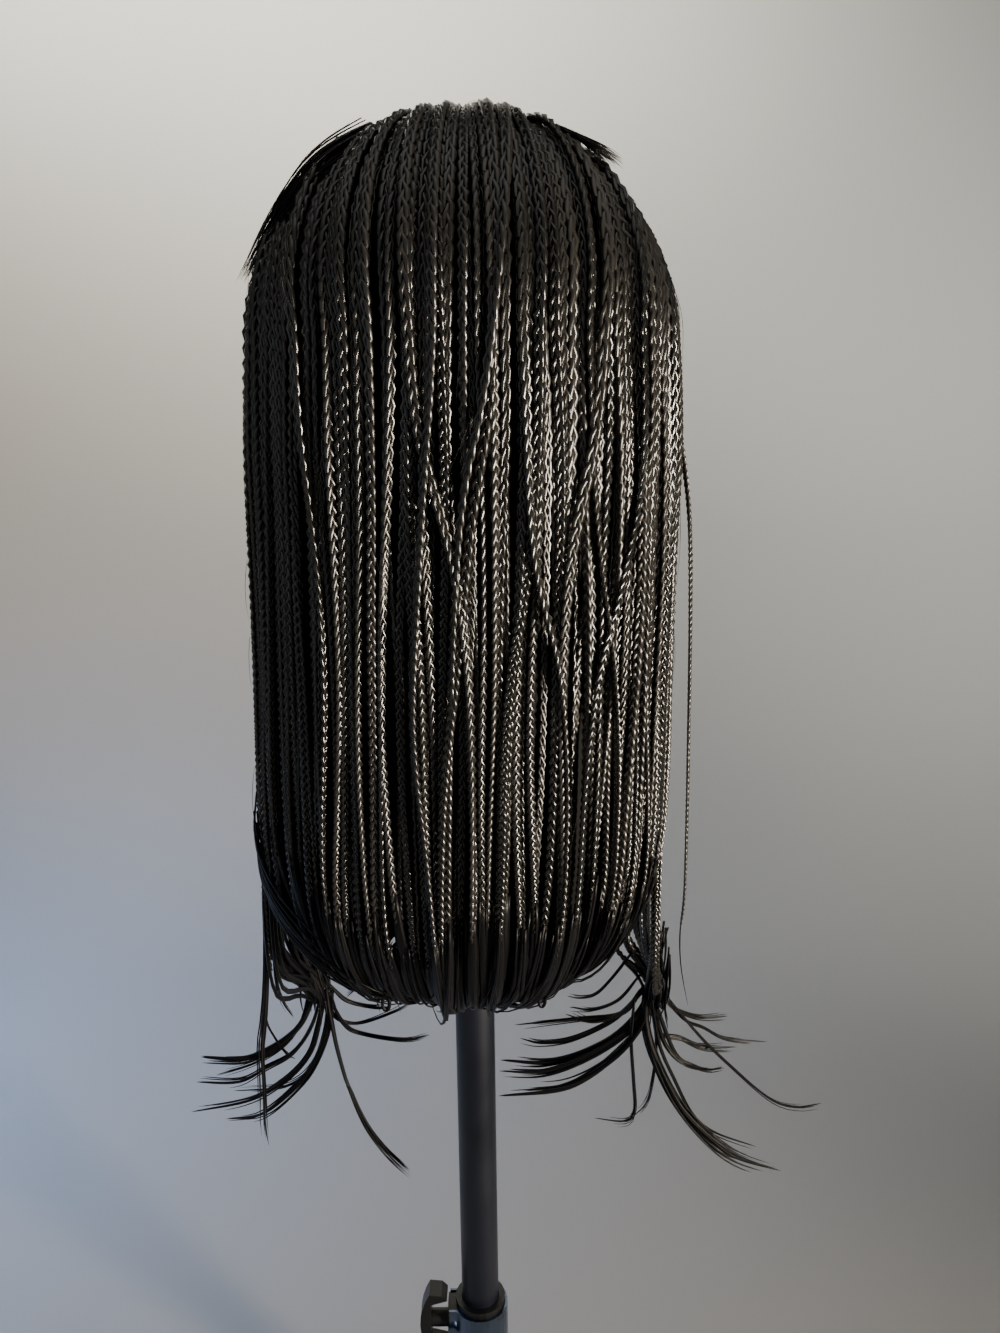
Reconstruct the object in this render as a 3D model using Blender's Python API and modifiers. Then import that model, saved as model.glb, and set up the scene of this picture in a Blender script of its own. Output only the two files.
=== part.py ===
"""Braid wig on a pole stand.

Metres, +Z up. The origin is on the pole's axis, under the middle of the base plate.
The back of the wig is at -Y and the face opening at +Y. Angles round the wig are in
degrees from the middle of its back, growing towards +X.
"""
import math

import bmesh
import bpy
import numpy as np

# Stand
BASE_DIAMETER = 0.240
BASE_THICKNESS = 0.006
BASE_EDGE_BEVEL = 0.0015
HUB_DIAMETER = 0.052
HUB_FLANGE_THICKNESS = 0.004
HUB_NECK_WALL = 0.004
HUB_HEIGHT = 0.030
POLE_DIAMETER = 0.022
POLE_WALL = 0.0012
POLE_TOP_THICKNESS = 0.003
POLE_TOP_BEVEL = 0.001
POLE_INSERT = 0.060
LOWER_TUBE_WALL = 0.0012
STAND_SIDES = 24

# Clamp on the lower tube
COLLAR_RIM_HEIGHT = 0.184
COLLAR_LIP = 0.005
COLLAR_HEIGHT = 0.034
COLLAR_WALL = 0.002
BOSS_LENGTH = 0.0047
BOSS_WIDTH = 0.014
BOSS_HEIGHT = 0.022
BAND_THICKNESS = 0.0014
BAND_HEIGHT = 0.024
BAND_EAR_MARGIN = 0.001
BOLT_DIAMETER = 0.0055
BOLT_HEAD = 0.002
KNOB_SPAN = 0.042
KNOB_THICKNESS = 0.012
KNOB_DEPTH = 0.0165
KNOB_WING = 0.0065
KNOB_STEM_DIAMETER = 0.010

# Wig
WIG_TOP = 0.837
CROWN_RISE = 0.106
CURTAIN_RADIUS = 0.107
CURTAIN_DROP = 0.303
BRAID_WALL = 0.008
HAIRLINE_WALL = 0.005
RIB_DEPTH = 0.0022
RIB_WAVE = 1.9
LOCK_SPREAD = 0.0012
GROOVE_END_RISE = 0.0106
TIP_SPREAD = 0.0055
TIP_WAVE = 2.7
CURTAIN_HALF_ANGLE = 125.0
PANEL_HALF_ANGLE = 100.0
PANEL_COUNT = 8
RIBS_PER_PANEL = 4
CROWN_ROWS = 8
HAIRLINE_FRONT_ELEVATION = 38.0
HAIRLINE_TEMPLE_ELEVATION = 12.0
CROWN_FAN = 0.62
CROWN_LIFT_SHARE = 0.3

# Cap under the braids
CAP_HALF_WIDTH = 0.078
CAP_HALF_DEPTH = 0.092
CAP_RISE = 0.092
CAP_WALL = 0.002
CAP_SEAT_MARGIN = 0.0035
CAP_COLUMNS = 28
CAP_ROWS = 7

# Locks in front of the ears
LOCK_RADIUS = 0.0052
LOCK_TIP_RADIUS = 0.0009
LOCK_SIDES_RESOLUTION = 1
GATHER_DROP = 0.383
GATHER_INWARD_LEFT = 0.014
GATHER_INWARD_RIGHT = 0.001
GATHER_FORWARD = 0.034
GATHER_PITCH = 0.004
LOCK_HIP_SHARE = 0.6
LOCK_NECK_SHARE = 0.7
LOCK_TAPER_START = 0.5
LOCK_FREE_LENGTH = 0.100
TUFT_RADIUS = 0.0022
TUFT_TIP_RADIUS = 0.0005
TUFT_ROOT_ANGLE = 3.5
TUFT_STAND_OUT = 0.016

# Clearances
GAP = 0.0003
PANEL_GAP = 0.0004
HAIRLINE_CLEARANCE = 0.0006
SLIDE_CLEARANCE = 0.0003
TUFT_CLEARANCE = 0.0006

EQUATOR_HEIGHT = WIG_TOP - CROWN_RISE
POLE_RADIUS = POLE_DIAMETER / 2
LOWER_TUBE_BORE = POLE_RADIUS + SLIDE_CLEARANCE
LOWER_TUBE_RADIUS = LOWER_TUBE_BORE + LOWER_TUBE_WALL
COLLAR_SOCKET_RADIUS = LOWER_TUBE_RADIUS + SLIDE_CLEARANCE
COLLAR_RADIUS = COLLAR_SOCKET_RADIUS + COLLAR_WALL
BOSS_END = COLLAR_RADIUS + BOSS_LENGTH

# Hanging braids from the widest level to the tips.
# Columns: drop as a share of CURTAIN_DROP, radius as a share of CURTAIN_RADIUS,
# wall as a share of BRAID_WALL.
CURTAIN_PROFILE = (
    (0.00, 1.000, 1.00),
    (0.16, 1.004, 1.00),
    (0.33, 1.000, 1.00),
    (0.50, 0.995, 1.00),
    (0.66, 1.000, 1.00),
    (0.78, 1.005, 1.00),
    (0.86, 0.990, 0.95),
    (0.92, 0.950, 0.85),
    (0.96, 0.890, 0.70),
    (0.99, 0.820, 0.50),
    (1.00, 0.760, 0.35),
)

# Rim of the cap. Columns: angle from the middle of the face, elevation of the rim.
CAP_RIM = (
    (0.0, 31.0),
    (25.0, 24.0),
    (50.0, 3.0),
    (80.0, -14.0),
    (120.0, -22.0),
    (180.0, -42.0),
)

# Free locks below each gather, from the back one to the front one.
# Columns, as shares of LOCK_FREE_LENGTH: how far apart from the gather the lock passes,
# then its turn and its tip, each sideways away from the wig and down, and how far
# forward the tip lies.
LEFT_LOCKS = (
    (0.30, 0.02, 0.50, 0.05, 0.98, -0.15),
    (0.00, 0.34, 0.60, 0.78, 0.74, -0.04),
    (0.00, 0.40, 0.50, 0.86, 0.54, 0.02),
    (0.00, 0.38, 0.28, 0.79, 0.34, 0.08),
    (0.00, -0.09, 0.56, -0.46, 1.10, 0.04),
)
RIGHT_LOCKS = (
    (0.00, 0.30, 0.84, 0.82, 1.14, -0.06),
    (0.00, 0.24, 0.16, 0.68, 0.26, 0.04),
    (0.00, 0.52, 0.52, 1.12, 0.84, 0.30),
    (0.00, -0.42, 0.44, -0.92, 0.58, 0.02),
    (0.00, -0.40, 0.26, -0.90, 0.33, 0.08),
)

# Short unbraided hair at the temples, laid over the crown and standing out at its tip.
# Columns: place of the root along the hairline, place of the tip across the crown and
# down it, as the crown's own columns and rows are counted, and the tip's standing out
# as a share of TUFT_STAND_OUT.
LEFT_TUFT = (
    (0.800, 0.730, 0.66, 0.85),
    (0.775, 0.675, 0.60, 0.70),
    (0.750, 0.620, 0.52, 0.45),
)
RIGHT_TUFT = (
    (0.800, 0.640, 0.52, 0.70),
    (0.775, 0.560, 0.50, 1.00),
    (0.750, 0.500, 0.42, 0.75),
)

MATERIALS = {
    "braided_hair": ((0.012, 0.011, 0.010), 0.42, 0.0),
    "lace_cap": ((0.020, 0.018, 0.017), 0.85, 0.0),
    "painted_steel": ((0.015, 0.017, 0.021), 0.35, 0.0),
    "moulded_plastic": ((0.014, 0.015, 0.016), 0.50, 0.0),
    "plated_steel": ((0.42, 0.46, 0.52), 0.25, 1.0),
}


def clear_scene():
    for old in list(bpy.data.objects):
        bpy.data.objects.remove(old, do_unlink=True)


def make_collection(name):
    collection = bpy.data.collections.new(name)
    bpy.context.scene.collection.children.link(collection)
    return collection


def make_materials():
    for name, (color, roughness, metallic) in MATERIALS.items():
        material = bpy.data.materials.new(name)
        material.use_nodes = True
        shader = material.node_tree.nodes["Principled BSDF"]
        shader.inputs["Base Color"].default_value = (*color, 1.0)
        shader.inputs["Roughness"].default_value = roughness
        shader.inputs["Metallic"].default_value = metallic


def add_part(name, mesh, material, collection):
    part = bpy.data.objects.new(name, mesh)
    mesh.materials.clear()
    mesh.materials.append(bpy.data.materials[material])
    mesh.shade_smooth()
    mesh.set_sharp_from_angle(angle=math.radians(40))
    collection.objects.link(part)
    return part


def as_cutter(cutter):
    cutter.hide_render = True
    cutter.display_type = "WIRE"
    return cutter


def combine(part, other, operation):
    modifier = part.modifiers.new(operation.lower(), "BOOLEAN")
    modifier.operation = operation
    modifier.solver = "EXACT"
    modifier.object = other
    return modifier


def turned(name, profile, material, collection, sides=STAND_SIDES):
    """Turn a profile of (radius, height) round the pole's axis. The outer side comes
    first, from top to bottom. A profile that starts and ends on the axis is solid,
    and any other one is closed into a ring."""
    mesh = bpy.data.meshes.new(name)
    shape = bmesh.new()
    points = [shape.verts.new((radius, 0.0, height)) for radius, height in profile]
    for first, second in zip(points, points[1:]):
        shape.edges.new((first, second))
    if profile[0][0] > 0 and profile[-1][0] > 0:
        shape.edges.new((points[-1], points[0]))
    shape.to_mesh(mesh)
    shape.free()
    part = add_part(name, mesh, material, collection)
    screw = part.modifiers.new("turn", "SCREW")
    screw.steps = sides
    screw.render_steps = sides
    screw.use_merge_vertices = True
    screw.merge_threshold = 0.00005
    screw.use_normal_calculate = False
    return part


def plate_outline(name, points, height, material, collection):
    """A flat outline in the XY plane, extruded by height and centred on it."""
    curve = bpy.data.curves.new(name, "CURVE")
    curve.dimensions = "2D"
    curve.fill_mode = "BOTH"
    curve.extrude = height / 2
    spline = curve.splines.new("POLY")
    spline.points.add(len(points) - 1)
    for point, (x, y) in zip(spline.points, points):
        point.co = (x, y, 0.0, 1.0)
    spline.use_cyclic_u = True
    holder = bpy.data.objects.new(name, curve)
    collection.objects.link(holder)
    return curve_to_part(holder, material, collection)


def curve_to_part(holder, material, collection):
    """Make a curve object a closed mesh, with its caps welded."""
    bpy.context.view_layer.update()
    evaluated = holder.evaluated_get(bpy.context.evaluated_depsgraph_get())
    mesh = bpy.data.meshes.new_from_object(evaluated)
    shape = bmesh.new()
    shape.from_mesh(mesh)
    bmesh.ops.remove_doubles(shape, verts=shape.verts, dist=0.00002)
    shape.to_mesh(mesh)
    shape.free()
    name = holder.name
    place = holder.matrix_world.copy()
    curve = holder.data
    bpy.data.objects.remove(holder, do_unlink=True)
    bpy.data.curves.remove(curve)
    part = add_part(name, mesh, material, collection)
    part.matrix_world = place
    return part


def arc(radius, start, end, count):
    """Points on a circle round the origin, angles in degrees from +X."""
    angles = np.radians(np.linspace(start, end, count))
    return [(radius * math.cos(angle), radius * math.sin(angle)) for angle in angles]


def cylinder_x(name, radius, length, middle, material, collection, sides=STAND_SIDES):
    """A cylinder along X."""
    mesh = bpy.data.meshes.new(name)
    shape = bmesh.new()
    bmesh.ops.create_cone(shape, cap_ends=True, segments=sides, radius1=radius,
                          radius2=radius, depth=length)
    shape.to_mesh(mesh)
    shape.free()
    part = add_part(name, mesh, material, collection)
    part.rotation_euler = (0.0, math.radians(90), 0.0)
    part.location = middle
    return part


def box(name, size, middle, material, collection):
    mesh = bpy.data.meshes.new(name)
    shape = bmesh.new()
    bmesh.ops.create_cube(shape, size=1.0)
    bmesh.ops.scale(shape, vec=size, verts=shape.verts)
    shape.to_mesh(mesh)
    shape.free()
    part = add_part(name, mesh, material, collection)
    part.location = middle
    return part


def wall_between(name, outer, inner, material, collection):
    """A closed wall between two grids of points of the same size, lofted because the
    outer side is ribbed and the inner side smooth. Rows run down and columns towards +X
    as seen from outside."""
    rows, columns = outer.shape[:2]
    points = np.concatenate([outer.reshape(-1, 3), inner.reshape(-1, 3)])
    number = np.arange(rows * columns).reshape(rows, columns)
    behind = number + rows * columns
    faces = []

    def patch(top_left, top_right, low_left, low_right):
        faces.extend(np.stack([top_left, low_left, low_right, top_right], -1).reshape(-1, 4))

    patch(number[:-1, :-1], number[:-1, 1:], number[1:, :-1], number[1:, 1:])
    patch(behind[:-1, 1:], behind[:-1, :-1], behind[1:, 1:], behind[1:, :-1])
    patch(behind[0, :-1], behind[0, 1:], number[0, :-1], number[0, 1:])
    patch(number[-1, :-1], number[-1, 1:], behind[-1, :-1], behind[-1, 1:])
    patch(behind[:-1, 0], number[:-1, 0], behind[1:, 0], number[1:, 0])
    patch(number[:-1, -1], behind[:-1, -1], number[1:, -1], behind[1:, -1])
    mesh = bpy.data.meshes.new(name)
    mesh.from_pydata(points.tolist(), [], np.array(faces).tolist())
    mesh.validate()
    return add_part(name, mesh, material, collection)


def smooth_route(points, steps):
    """Points on a smooth curve through the given ones, with a number of steps in each
    span between two of them."""
    points = np.array(points, float)
    padded = np.vstack([2 * points[0] - points[1], points, 2 * points[-1] - points[-2]])
    first = np.repeat(np.arange(len(steps)), steps)
    share = np.concatenate([np.arange(count) / count for count in steps])[:, None]
    before, start, end, after = (padded[first + step] for step in range(4))
    curve = 0.5 * (2 * start + (end - before) * share
                   + (2 * before - 5 * start + 4 * end - after) * share ** 2
                   + (3 * start - before - 3 * end + after) * share ** 3)
    return np.vstack([curve, points[-1]])


def hair_lock(name, route, radii, material, collection):
    """A round lock along a route, with its radius at each point."""
    curve = bpy.data.curves.new(name, "CURVE")
    curve.dimensions = "3D"
    curve.bevel_depth = 1.0
    curve.bevel_resolution = LOCK_SIDES_RESOLUTION
    curve.use_fill_caps = True
    spline = curve.splines.new("POLY")
    spline.points.add(len(route) - 1)
    for point, place, radius in zip(spline.points, route, radii):
        point.co = (*place, 1.0)
        point.radius = radius
    holder = bpy.data.objects.new(name, curve)
    collection.objects.link(holder)
    return curve_to_part(holder, material, collection)


def fused_locks(name, routes, radii, material, collection, cutters):
    """One body from several locks that run into each other."""
    main = hair_lock(name, routes[0], radii, material, collection)
    for number, route in enumerate(routes[1:], 2):
        other = hair_lock(f"{name}_{number}", route, radii, material, cutters)
        combine(main, as_cutter(other), "UNION")
    return main


def ease(share):
    share = np.clip(share, 0.0, 1.0)
    return share * share * (3 - 2 * share)


def direction(face_angle, elevation):
    """Unit directions from the middle of the wig at its widest level. The angle is from
    the middle of the face towards +X, in degrees as the elevation is."""
    angle = np.radians(face_angle)
    height = np.radians(elevation)
    return np.stack([np.cos(height) * np.sin(angle), np.cos(height) * np.cos(angle),
                     np.sin(height) * np.ones_like(angle)], -1)


def reach(directions, half_width, half_depth, rise):
    """Distance from the middle to an ellipsoid along unit directions."""
    return ((directions / np.array([half_width, half_depth, rise])) ** 2).sum(-1) ** -0.5


def cap_reach(directions):
    return reach(directions, CAP_HALF_WIDTH, CAP_HALF_DEPTH, CAP_RISE)


def crown_reach(directions):
    return reach(directions, CURTAIN_RADIUS, CURTAIN_RADIUS, CROWN_RISE)


def from_middle(directions, distance):
    return directions * distance[..., None] + np.array([0.0, 0.0, EQUATOR_HEIGHT])


def rib_offset(rib_edge):
    """How far a column stands out: even columns are the grooves between the ribs, odd
    ones the crests, which stand out by different amounts."""
    crest = rib_edge % 2
    return crest * (RIB_DEPTH + LOCK_SPREAD * np.sin(rib_edge * RIB_WAVE)) - RIB_DEPTH


def make_cap(parts):
    """A dome that is open below and at the face, its wall inwards. Its highest ring lies
    just outside the pole, which seats in the flat cone inside it."""
    columns = np.linspace(0, 360, CAP_COLUMNS, endpoint=False)
    from_face = np.minimum(columns, 360 - columns)
    rim = np.interp(from_face, *np.array(CAP_RIM).T)
    seat = math.degrees(math.atan2(CAP_RISE, POLE_RADIUS + CAP_SEAT_MARGIN))
    shape = bmesh.new()
    rows = []
    for share in np.linspace(0, 1, CAP_ROWS):
        directions = direction(columns, rim + (seat - rim) * share)
        points = from_middle(directions, cap_reach(directions))
        rows.append([shape.verts.new(point) for point in points])
    top = shape.verts.new((0.0, 0.0, EQUATOR_HEIGHT + CAP_RISE))
    for low, high in zip(rows, rows[1:]):
        for index in range(CAP_COLUMNS):
            after = (index + 1) % CAP_COLUMNS
            shape.faces.new((low[after], low[index], high[index], high[after]))
    for index in range(CAP_COLUMNS):
        after = (index + 1) % CAP_COLUMNS
        shape.faces.new((rows[-1][after], rows[-1][index], top))
    mesh = bpy.data.meshes.new("wig_cap")
    shape.to_mesh(mesh)
    shape.free()
    cap = add_part("wig_cap", mesh, "lace_cap", parts)
    wall = cap.modifiers.new("wall", "SOLIDIFY")
    wall.thickness = CAP_WALL
    wall.offset = -1.0
    return cap


def crown_lines(side, along):
    """Directions of the braids over the crown. Side runs from -1 at one end of the
    hairline to 1 at the other, along from 0 at the hairline to 1 at the widest level.
    Each line bends from the hairline over a point near the top."""
    front_angle = 180 - CURTAIN_HALF_ANGLE
    drop = HAIRLINE_FRONT_ELEVATION - HAIRLINE_TEMPLE_ELEVATION
    hairline = direction(side * front_angle, HAIRLINE_FRONT_ELEVATION - drop * side ** 2)
    lower = direction(180 - side * CURTAIN_HALF_ANGLE, 0.0)
    over = np.stack([2 * CROWN_FAN * side, 0 * side, 2 + 0 * side], -1)
    outward = (side ** 2)[..., None]
    bend = over * (1 - outward) + (hairline + lower) / 2 * outward
    share = along[..., None]
    line = hairline * (1 - share) ** 2 + bend * 2 * share * (1 - share) + lower * share ** 2
    return line / np.linalg.norm(line, axis=-1, keepdims=True)


def crown_wall(line, along):
    """Distances to the inner and outer side of the crown's wall, which lies on the cap
    at the hairline and stands away from it further back."""
    lift = ease(along / CROWN_LIFT_SHARE)
    on_cap = cap_reach(line) + HAIRLINE_CLEARANCE
    inside = on_cap * (1 - lift) + (crown_reach(line) - BRAID_WALL) * lift
    return inside, inside + HAIRLINE_WALL * (1 - lift) + BRAID_WALL * lift


def make_crown(parts):
    """The braids over the crown, one rib for each group that hangs below it."""
    edges = 2 * round(2 * CURTAIN_HALF_ANGLE / rib_angle())
    side = np.linspace(-1, 1, edges + 1)[None, :]
    along = np.linspace(0, 1, CROWN_ROWS + 1)[:, None]
    line = crown_lines(side, along)
    inside, outside = crown_wall(line, along)
    ribs = rib_offset(np.arange(edges + 1))[None, :] * ease(along / CROWN_LIFT_SHARE)
    return wall_between("crown_braids", from_middle(line, outside + ribs),
                        from_middle(line, inside), "braided_hair", parts)


def rib_angle():
    return 2 * PANEL_HALF_ANGLE / (PANEL_COUNT * RIBS_PER_PANEL)


def make_panel(number, parts):
    """One upright panel of the hanging braids. Its ribs end in points that curl in."""
    width = 2 * PANEL_HALF_ANGLE / PANEL_COUNT
    gap = math.degrees(PANEL_GAP / CURTAIN_RADIUS) / 2
    start = -PANEL_HALF_ANGLE + number * width
    edge = np.arange(2 * RIBS_PER_PANEL + 1)
    angle = np.radians(np.linspace(start + gap, start + width - gap, edge.size))[None, :]
    overall = edge + number * 2 * RIBS_PER_PANEL
    drop, radius, wall = (column[:, None] for column in np.array(CURTAIN_PROFILE).T)
    groove = GROOVE_END_RISE * (edge % 2 == 0)
    length = CURTAIN_DROP - groove - TIP_SPREAD * (1 + np.sin(overall * TIP_WAVE)) / 2
    height = EQUATOR_HEIGHT - GAP - drop * length[None, :]
    out = CURTAIN_RADIUS * radius + 0 * angle
    ribs = rib_offset(edge)[None, :] * wall

    def grid(distance):
        return np.stack([distance * np.sin(angle), -distance * np.cos(angle), height], -1)

    name = f"braid_panel_{number + 1}"
    return wall_between(name, grid(out + ribs), grid(out - BRAID_WALL * wall),
                        "braided_hair", parts)


def make_front_locks(name, side, inward, table, parts, cutters):
    """The long locks in front of one ear. They hang from the crown, are drawn together
    at the gather and part again into curved free ends."""
    hang_radius = CURTAIN_RADIUS - BRAID_WALL / 2
    margin = math.degrees((LOCK_RADIUS + GAP) / hang_radius)
    pitch = (CURTAIN_HALF_ANGLE - PANEL_HALF_ANGLE - 2 * margin) / (len(table) - 1)
    top = EQUATOR_HEIGHT - GAP
    middle = np.array([side * (CURTAIN_RADIUS - inward), GATHER_FORWARD, top - GATHER_DROP])
    routes = []
    for number, row in enumerate(table):
        apart, turn_out, turn_down, out, down, forward = LOCK_FREE_LENGTH * np.array(row)
        angle = math.radians(PANEL_HALF_ANGLE + margin + pitch * number)
        x = side * hang_radius * math.sin(angle)
        y = -hang_radius * math.cos(angle)
        order = number - (len(table) - 1) / 2
        gather = middle + np.array([side * (apart - GATHER_PITCH * order / 2),
                                    GATHER_PITCH * order, 0.0])
        hip = np.array([x, y, top - GATHER_DROP * LOCK_HIP_SHARE])
        neck = hip + (gather - hip) * LOCK_NECK_SHARE
        turn = gather + np.array([side * turn_out, forward / 2, -turn_down])
        tip = gather + np.array([side * out, forward, -down])
        upper = (x, y, top - GATHER_DROP * LOCK_HIP_SHARE / 2)
        routes.append(smooth_route([(x, y, top), upper, hip, neck, gather, turn, tip],
                                   (1, 1, 1, 2, 4, 4)))
    share = np.linspace(0, 1, len(routes[0]))
    taper = ease((share - LOCK_TAPER_START) / (1 - LOCK_TAPER_START))
    radii = LOCK_RADIUS + (LOCK_TIP_RADIUS - LOCK_RADIUS) * taper
    return fused_locks(name, routes, radii, "braided_hair", parts, cutters)


def make_tuft(name, side, table, parts, cutters):
    """Short loose hair at one temple. It starts on the cap just in front of the hairline,
    passes over the braids' edge and lies back along the crown, clear of its ribs."""
    routes = []
    for root, across, along_tip, stand_out in table:
        share = np.linspace(0, 1, 6)
        along = along_tip * share
        line = crown_lines(side * (root + (across - root) * share), along)
        out = crown_wall(line, along)[1] + LOCK_SPREAD + TUFT_RADIUS + TUFT_CLEARANCE
        out = out + TUFT_STAND_OUT * stand_out * share ** 2
        over = from_middle(line, out)
        front = rotate_down(line[0], TUFT_ROOT_ANGLE)
        edge = from_middle(front, np.array(cap_reach(front) + TUFT_CLEARANCE))
        lifted = from_middle(front, np.array(out[0] - TUFT_RADIUS))
        routes.append(np.vstack([edge, lifted, over]))
    share = np.linspace(0, 1, len(routes[0]))
    radii = TUFT_RADIUS + (TUFT_TIP_RADIUS - TUFT_RADIUS) * share
    return fused_locks(name, routes, radii, "braided_hair", parts, cutters)


def rotate_down(line, angle):
    """A direction turned down by an angle in degrees, towards the face."""
    elevation = math.asin(line[2]) - math.radians(angle)
    level = np.array([line[0], line[1], 0.0])
    level *= math.cos(elevation) / np.linalg.norm(level)
    return level + np.array([0.0, 0.0, math.sin(elevation)])


def make_stand(parts):
    """Base plate, hub, lower tube and pole, all turned round the same axis."""
    base_radius = BASE_DIAMETER / 2
    plate_top = BASE_THICKNESS
    turned("base_plate", [
        (0.0, plate_top), (base_radius - BASE_EDGE_BEVEL, plate_top),
        (base_radius, plate_top - BASE_EDGE_BEVEL), (base_radius, 0.0), (0.0, 0.0),
    ], "painted_steel", parts, 2 * STAND_SIDES)
    hub_bottom = plate_top + GAP
    bore = LOWER_TUBE_RADIUS + SLIDE_CLEARANCE
    neck = bore + HUB_NECK_WALL
    turned("base_hub", [
        (neck, hub_bottom + HUB_HEIGHT),
        (neck, hub_bottom + HUB_FLANGE_THICKNESS),
        (HUB_DIAMETER / 2, hub_bottom + HUB_FLANGE_THICKNESS),
        (HUB_DIAMETER / 2, hub_bottom), (bore, hub_bottom),
        (bore, hub_bottom + HUB_HEIGHT),
    ], "moulded_plastic", parts)
    tube_top = COLLAR_RIM_HEIGHT - COLLAR_LIP - GAP
    turned("lower_tube", [
        (LOWER_TUBE_RADIUS, tube_top), (LOWER_TUBE_RADIUS, hub_bottom),
        (LOWER_TUBE_BORE, hub_bottom), (LOWER_TUBE_BORE, tube_top),
    ], "painted_steel", parts)
    pole_bottom = COLLAR_RIM_HEIGHT - POLE_INSERT
    pole_top = under_cap(POLE_RADIUS) - GAP
    bore = POLE_RADIUS - POLE_WALL
    turned("stand_pole", [
        (0.0, pole_top), (POLE_RADIUS - POLE_TOP_BEVEL, pole_top),
        (POLE_RADIUS, pole_top - POLE_TOP_BEVEL), (POLE_RADIUS, pole_bottom),
        (bore, pole_bottom), (bore, pole_top - POLE_TOP_THICKNESS),
        (0.0, pole_top - POLE_TOP_THICKNESS),
    ], "painted_steel", parts)


def under_cap(radius):
    """Height of the cap's inner side at a distance from the pole's axis."""
    across = radius / (min(CAP_HALF_WIDTH, CAP_HALF_DEPTH) - CAP_WALL)
    return EQUATOR_HEIGHT + (CAP_RISE - CAP_WALL) * math.sqrt(1 - across ** 2)


def make_clamp(parts, cutters):
    """The collar that locks the pole, its band and bolt, and the T knob at -X."""
    bottom = COLLAR_RIM_HEIGHT - COLLAR_HEIGHT
    step = COLLAR_RIM_HEIGHT - COLLAR_LIP
    collar = turned("clamp_collar", [
        (COLLAR_RADIUS, COLLAR_RIM_HEIGHT), (COLLAR_RADIUS, bottom),
        (COLLAR_SOCKET_RADIUS, bottom), (COLLAR_SOCKET_RADIUS, step),
        (LOWER_TUBE_BORE, step), (LOWER_TUBE_BORE, COLLAR_RIM_HEIGHT),
    ], "moulded_plastic", parts)
    boss_middle = step - BOSS_HEIGHT / 2
    boss_start = -COLLAR_SOCKET_RADIUS / 2
    boss = box("boss", (BOSS_END + boss_start, BOSS_WIDTH, BOSS_HEIGHT),
               ((boss_start - BOSS_END) / 2, 0.0, boss_middle), "moulded_plastic", cutters)
    combine(collar, as_cutter(boss), "UNION")
    bore = turned("bore", [
        (0.0, step), (COLLAR_SOCKET_RADIUS, step),
        (COLLAR_SOCKET_RADIUS, bottom - GAP), (0.0, bottom - GAP),
    ], "moulded_plastic", cutters)
    combine(collar, as_cutter(bore), "DIFFERENCE")

    band_inside = COLLAR_RADIUS + GAP
    band_outside = band_inside + BAND_THICKNESS
    ear_inside = BOSS_WIDTH / 2 + GAP
    ear_outside = ear_inside + BAND_THICKNESS
    outer_turn = 180 - math.degrees(math.asin(ear_outside / band_outside))
    inner_turn = 180 - math.degrees(math.asin(ear_inside / band_inside))
    ear_end = -(BOSS_END - BAND_EAR_MARGIN)
    outline = [(ear_end, -ear_outside)]
    outline += arc(band_outside, -outer_turn, outer_turn, STAND_SIDES)
    outline += [(ear_end, ear_outside), (ear_end, ear_inside)]
    outline += arc(band_inside, inner_turn, -inner_turn, STAND_SIDES)
    outline += [(ear_end, -ear_inside)]
    band = plate_outline("clamp_band", outline, BAND_HEIGHT, "plated_steel", parts)
    band.location = (0.0, 0.0, boss_middle)

    bolt_x = (ear_end - COLLAR_RADIUS) / 2
    bolt = cylinder_x("clamp_bolt", BOLT_DIAMETER / 2, BOLT_HEAD,
                      (bolt_x, -(ear_outside + GAP + BOLT_HEAD / 2), boss_middle),
                      "plated_steel", parts, 12)
    bolt.rotation_euler = (math.radians(90), 0.0, 0.0)

    wing_end = BOSS_END + GAP
    wing_back = wing_end + KNOB_DEPTH
    half = KNOB_SPAN / 2
    outline = [(wing_back - 0.35 * KNOB_DEPTH * (height / half) ** 2, height)
               for height in np.linspace(-half, half, 9)]
    outline += [(wing_end + 0.20 * KNOB_DEPTH, half * 0.96), (wing_end, half * 0.80)]
    inner_face = wing_back - KNOB_WING
    outline += [(inner_face, height) for height in (half * 0.66, -half * 0.66)]
    outline += [(wing_end, -half * 0.80), (wing_end + 0.20 * KNOB_DEPTH, -half * 0.96)]
    knob = plate_outline("clamp_knob", [(-x, y) for x, y in outline], KNOB_THICKNESS,
                         "moulded_plastic", parts)
    knob.rotation_euler = (math.radians(90), 0.0, 0.0)
    knob.location = (0.0, 0.0, boss_middle)
    stem_length = KNOB_DEPTH - KNOB_WING / 2
    stem = cylinder_x("knob_stem", KNOB_STEM_DIAMETER / 2, stem_length,
                      (-(wing_end + stem_length / 2), 0.0, boss_middle),
                      "moulded_plastic", cutters, 16)
    combine(knob, as_cutter(stem), "UNION")


def main():
    clear_scene()
    parts = make_collection("braid_wig_on_pole_stand")
    cutters = make_collection("cutters")
    make_materials()
    make_stand(parts)
    make_clamp(parts, cutters)
    make_cap(parts)
    make_crown(parts)
    for number in range(PANEL_COUNT):
        make_panel(number, parts)
    make_front_locks("front_locks_left", -1, GATHER_INWARD_LEFT, LEFT_LOCKS, parts, cutters)
    make_front_locks("front_locks_right", 1, GATHER_INWARD_RIGHT, RIGHT_LOCKS, parts, cutters)
    make_tuft("temple_tuft_left", -1, LEFT_TUFT, parts, cutters)
    make_tuft("temple_tuft_right", 1, RIGHT_TUFT, parts, cutters)


main()
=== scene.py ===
"""Looks of the braid wig on its pole stand: hair, cap, stand finishes, light and camera."""

import math

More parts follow.
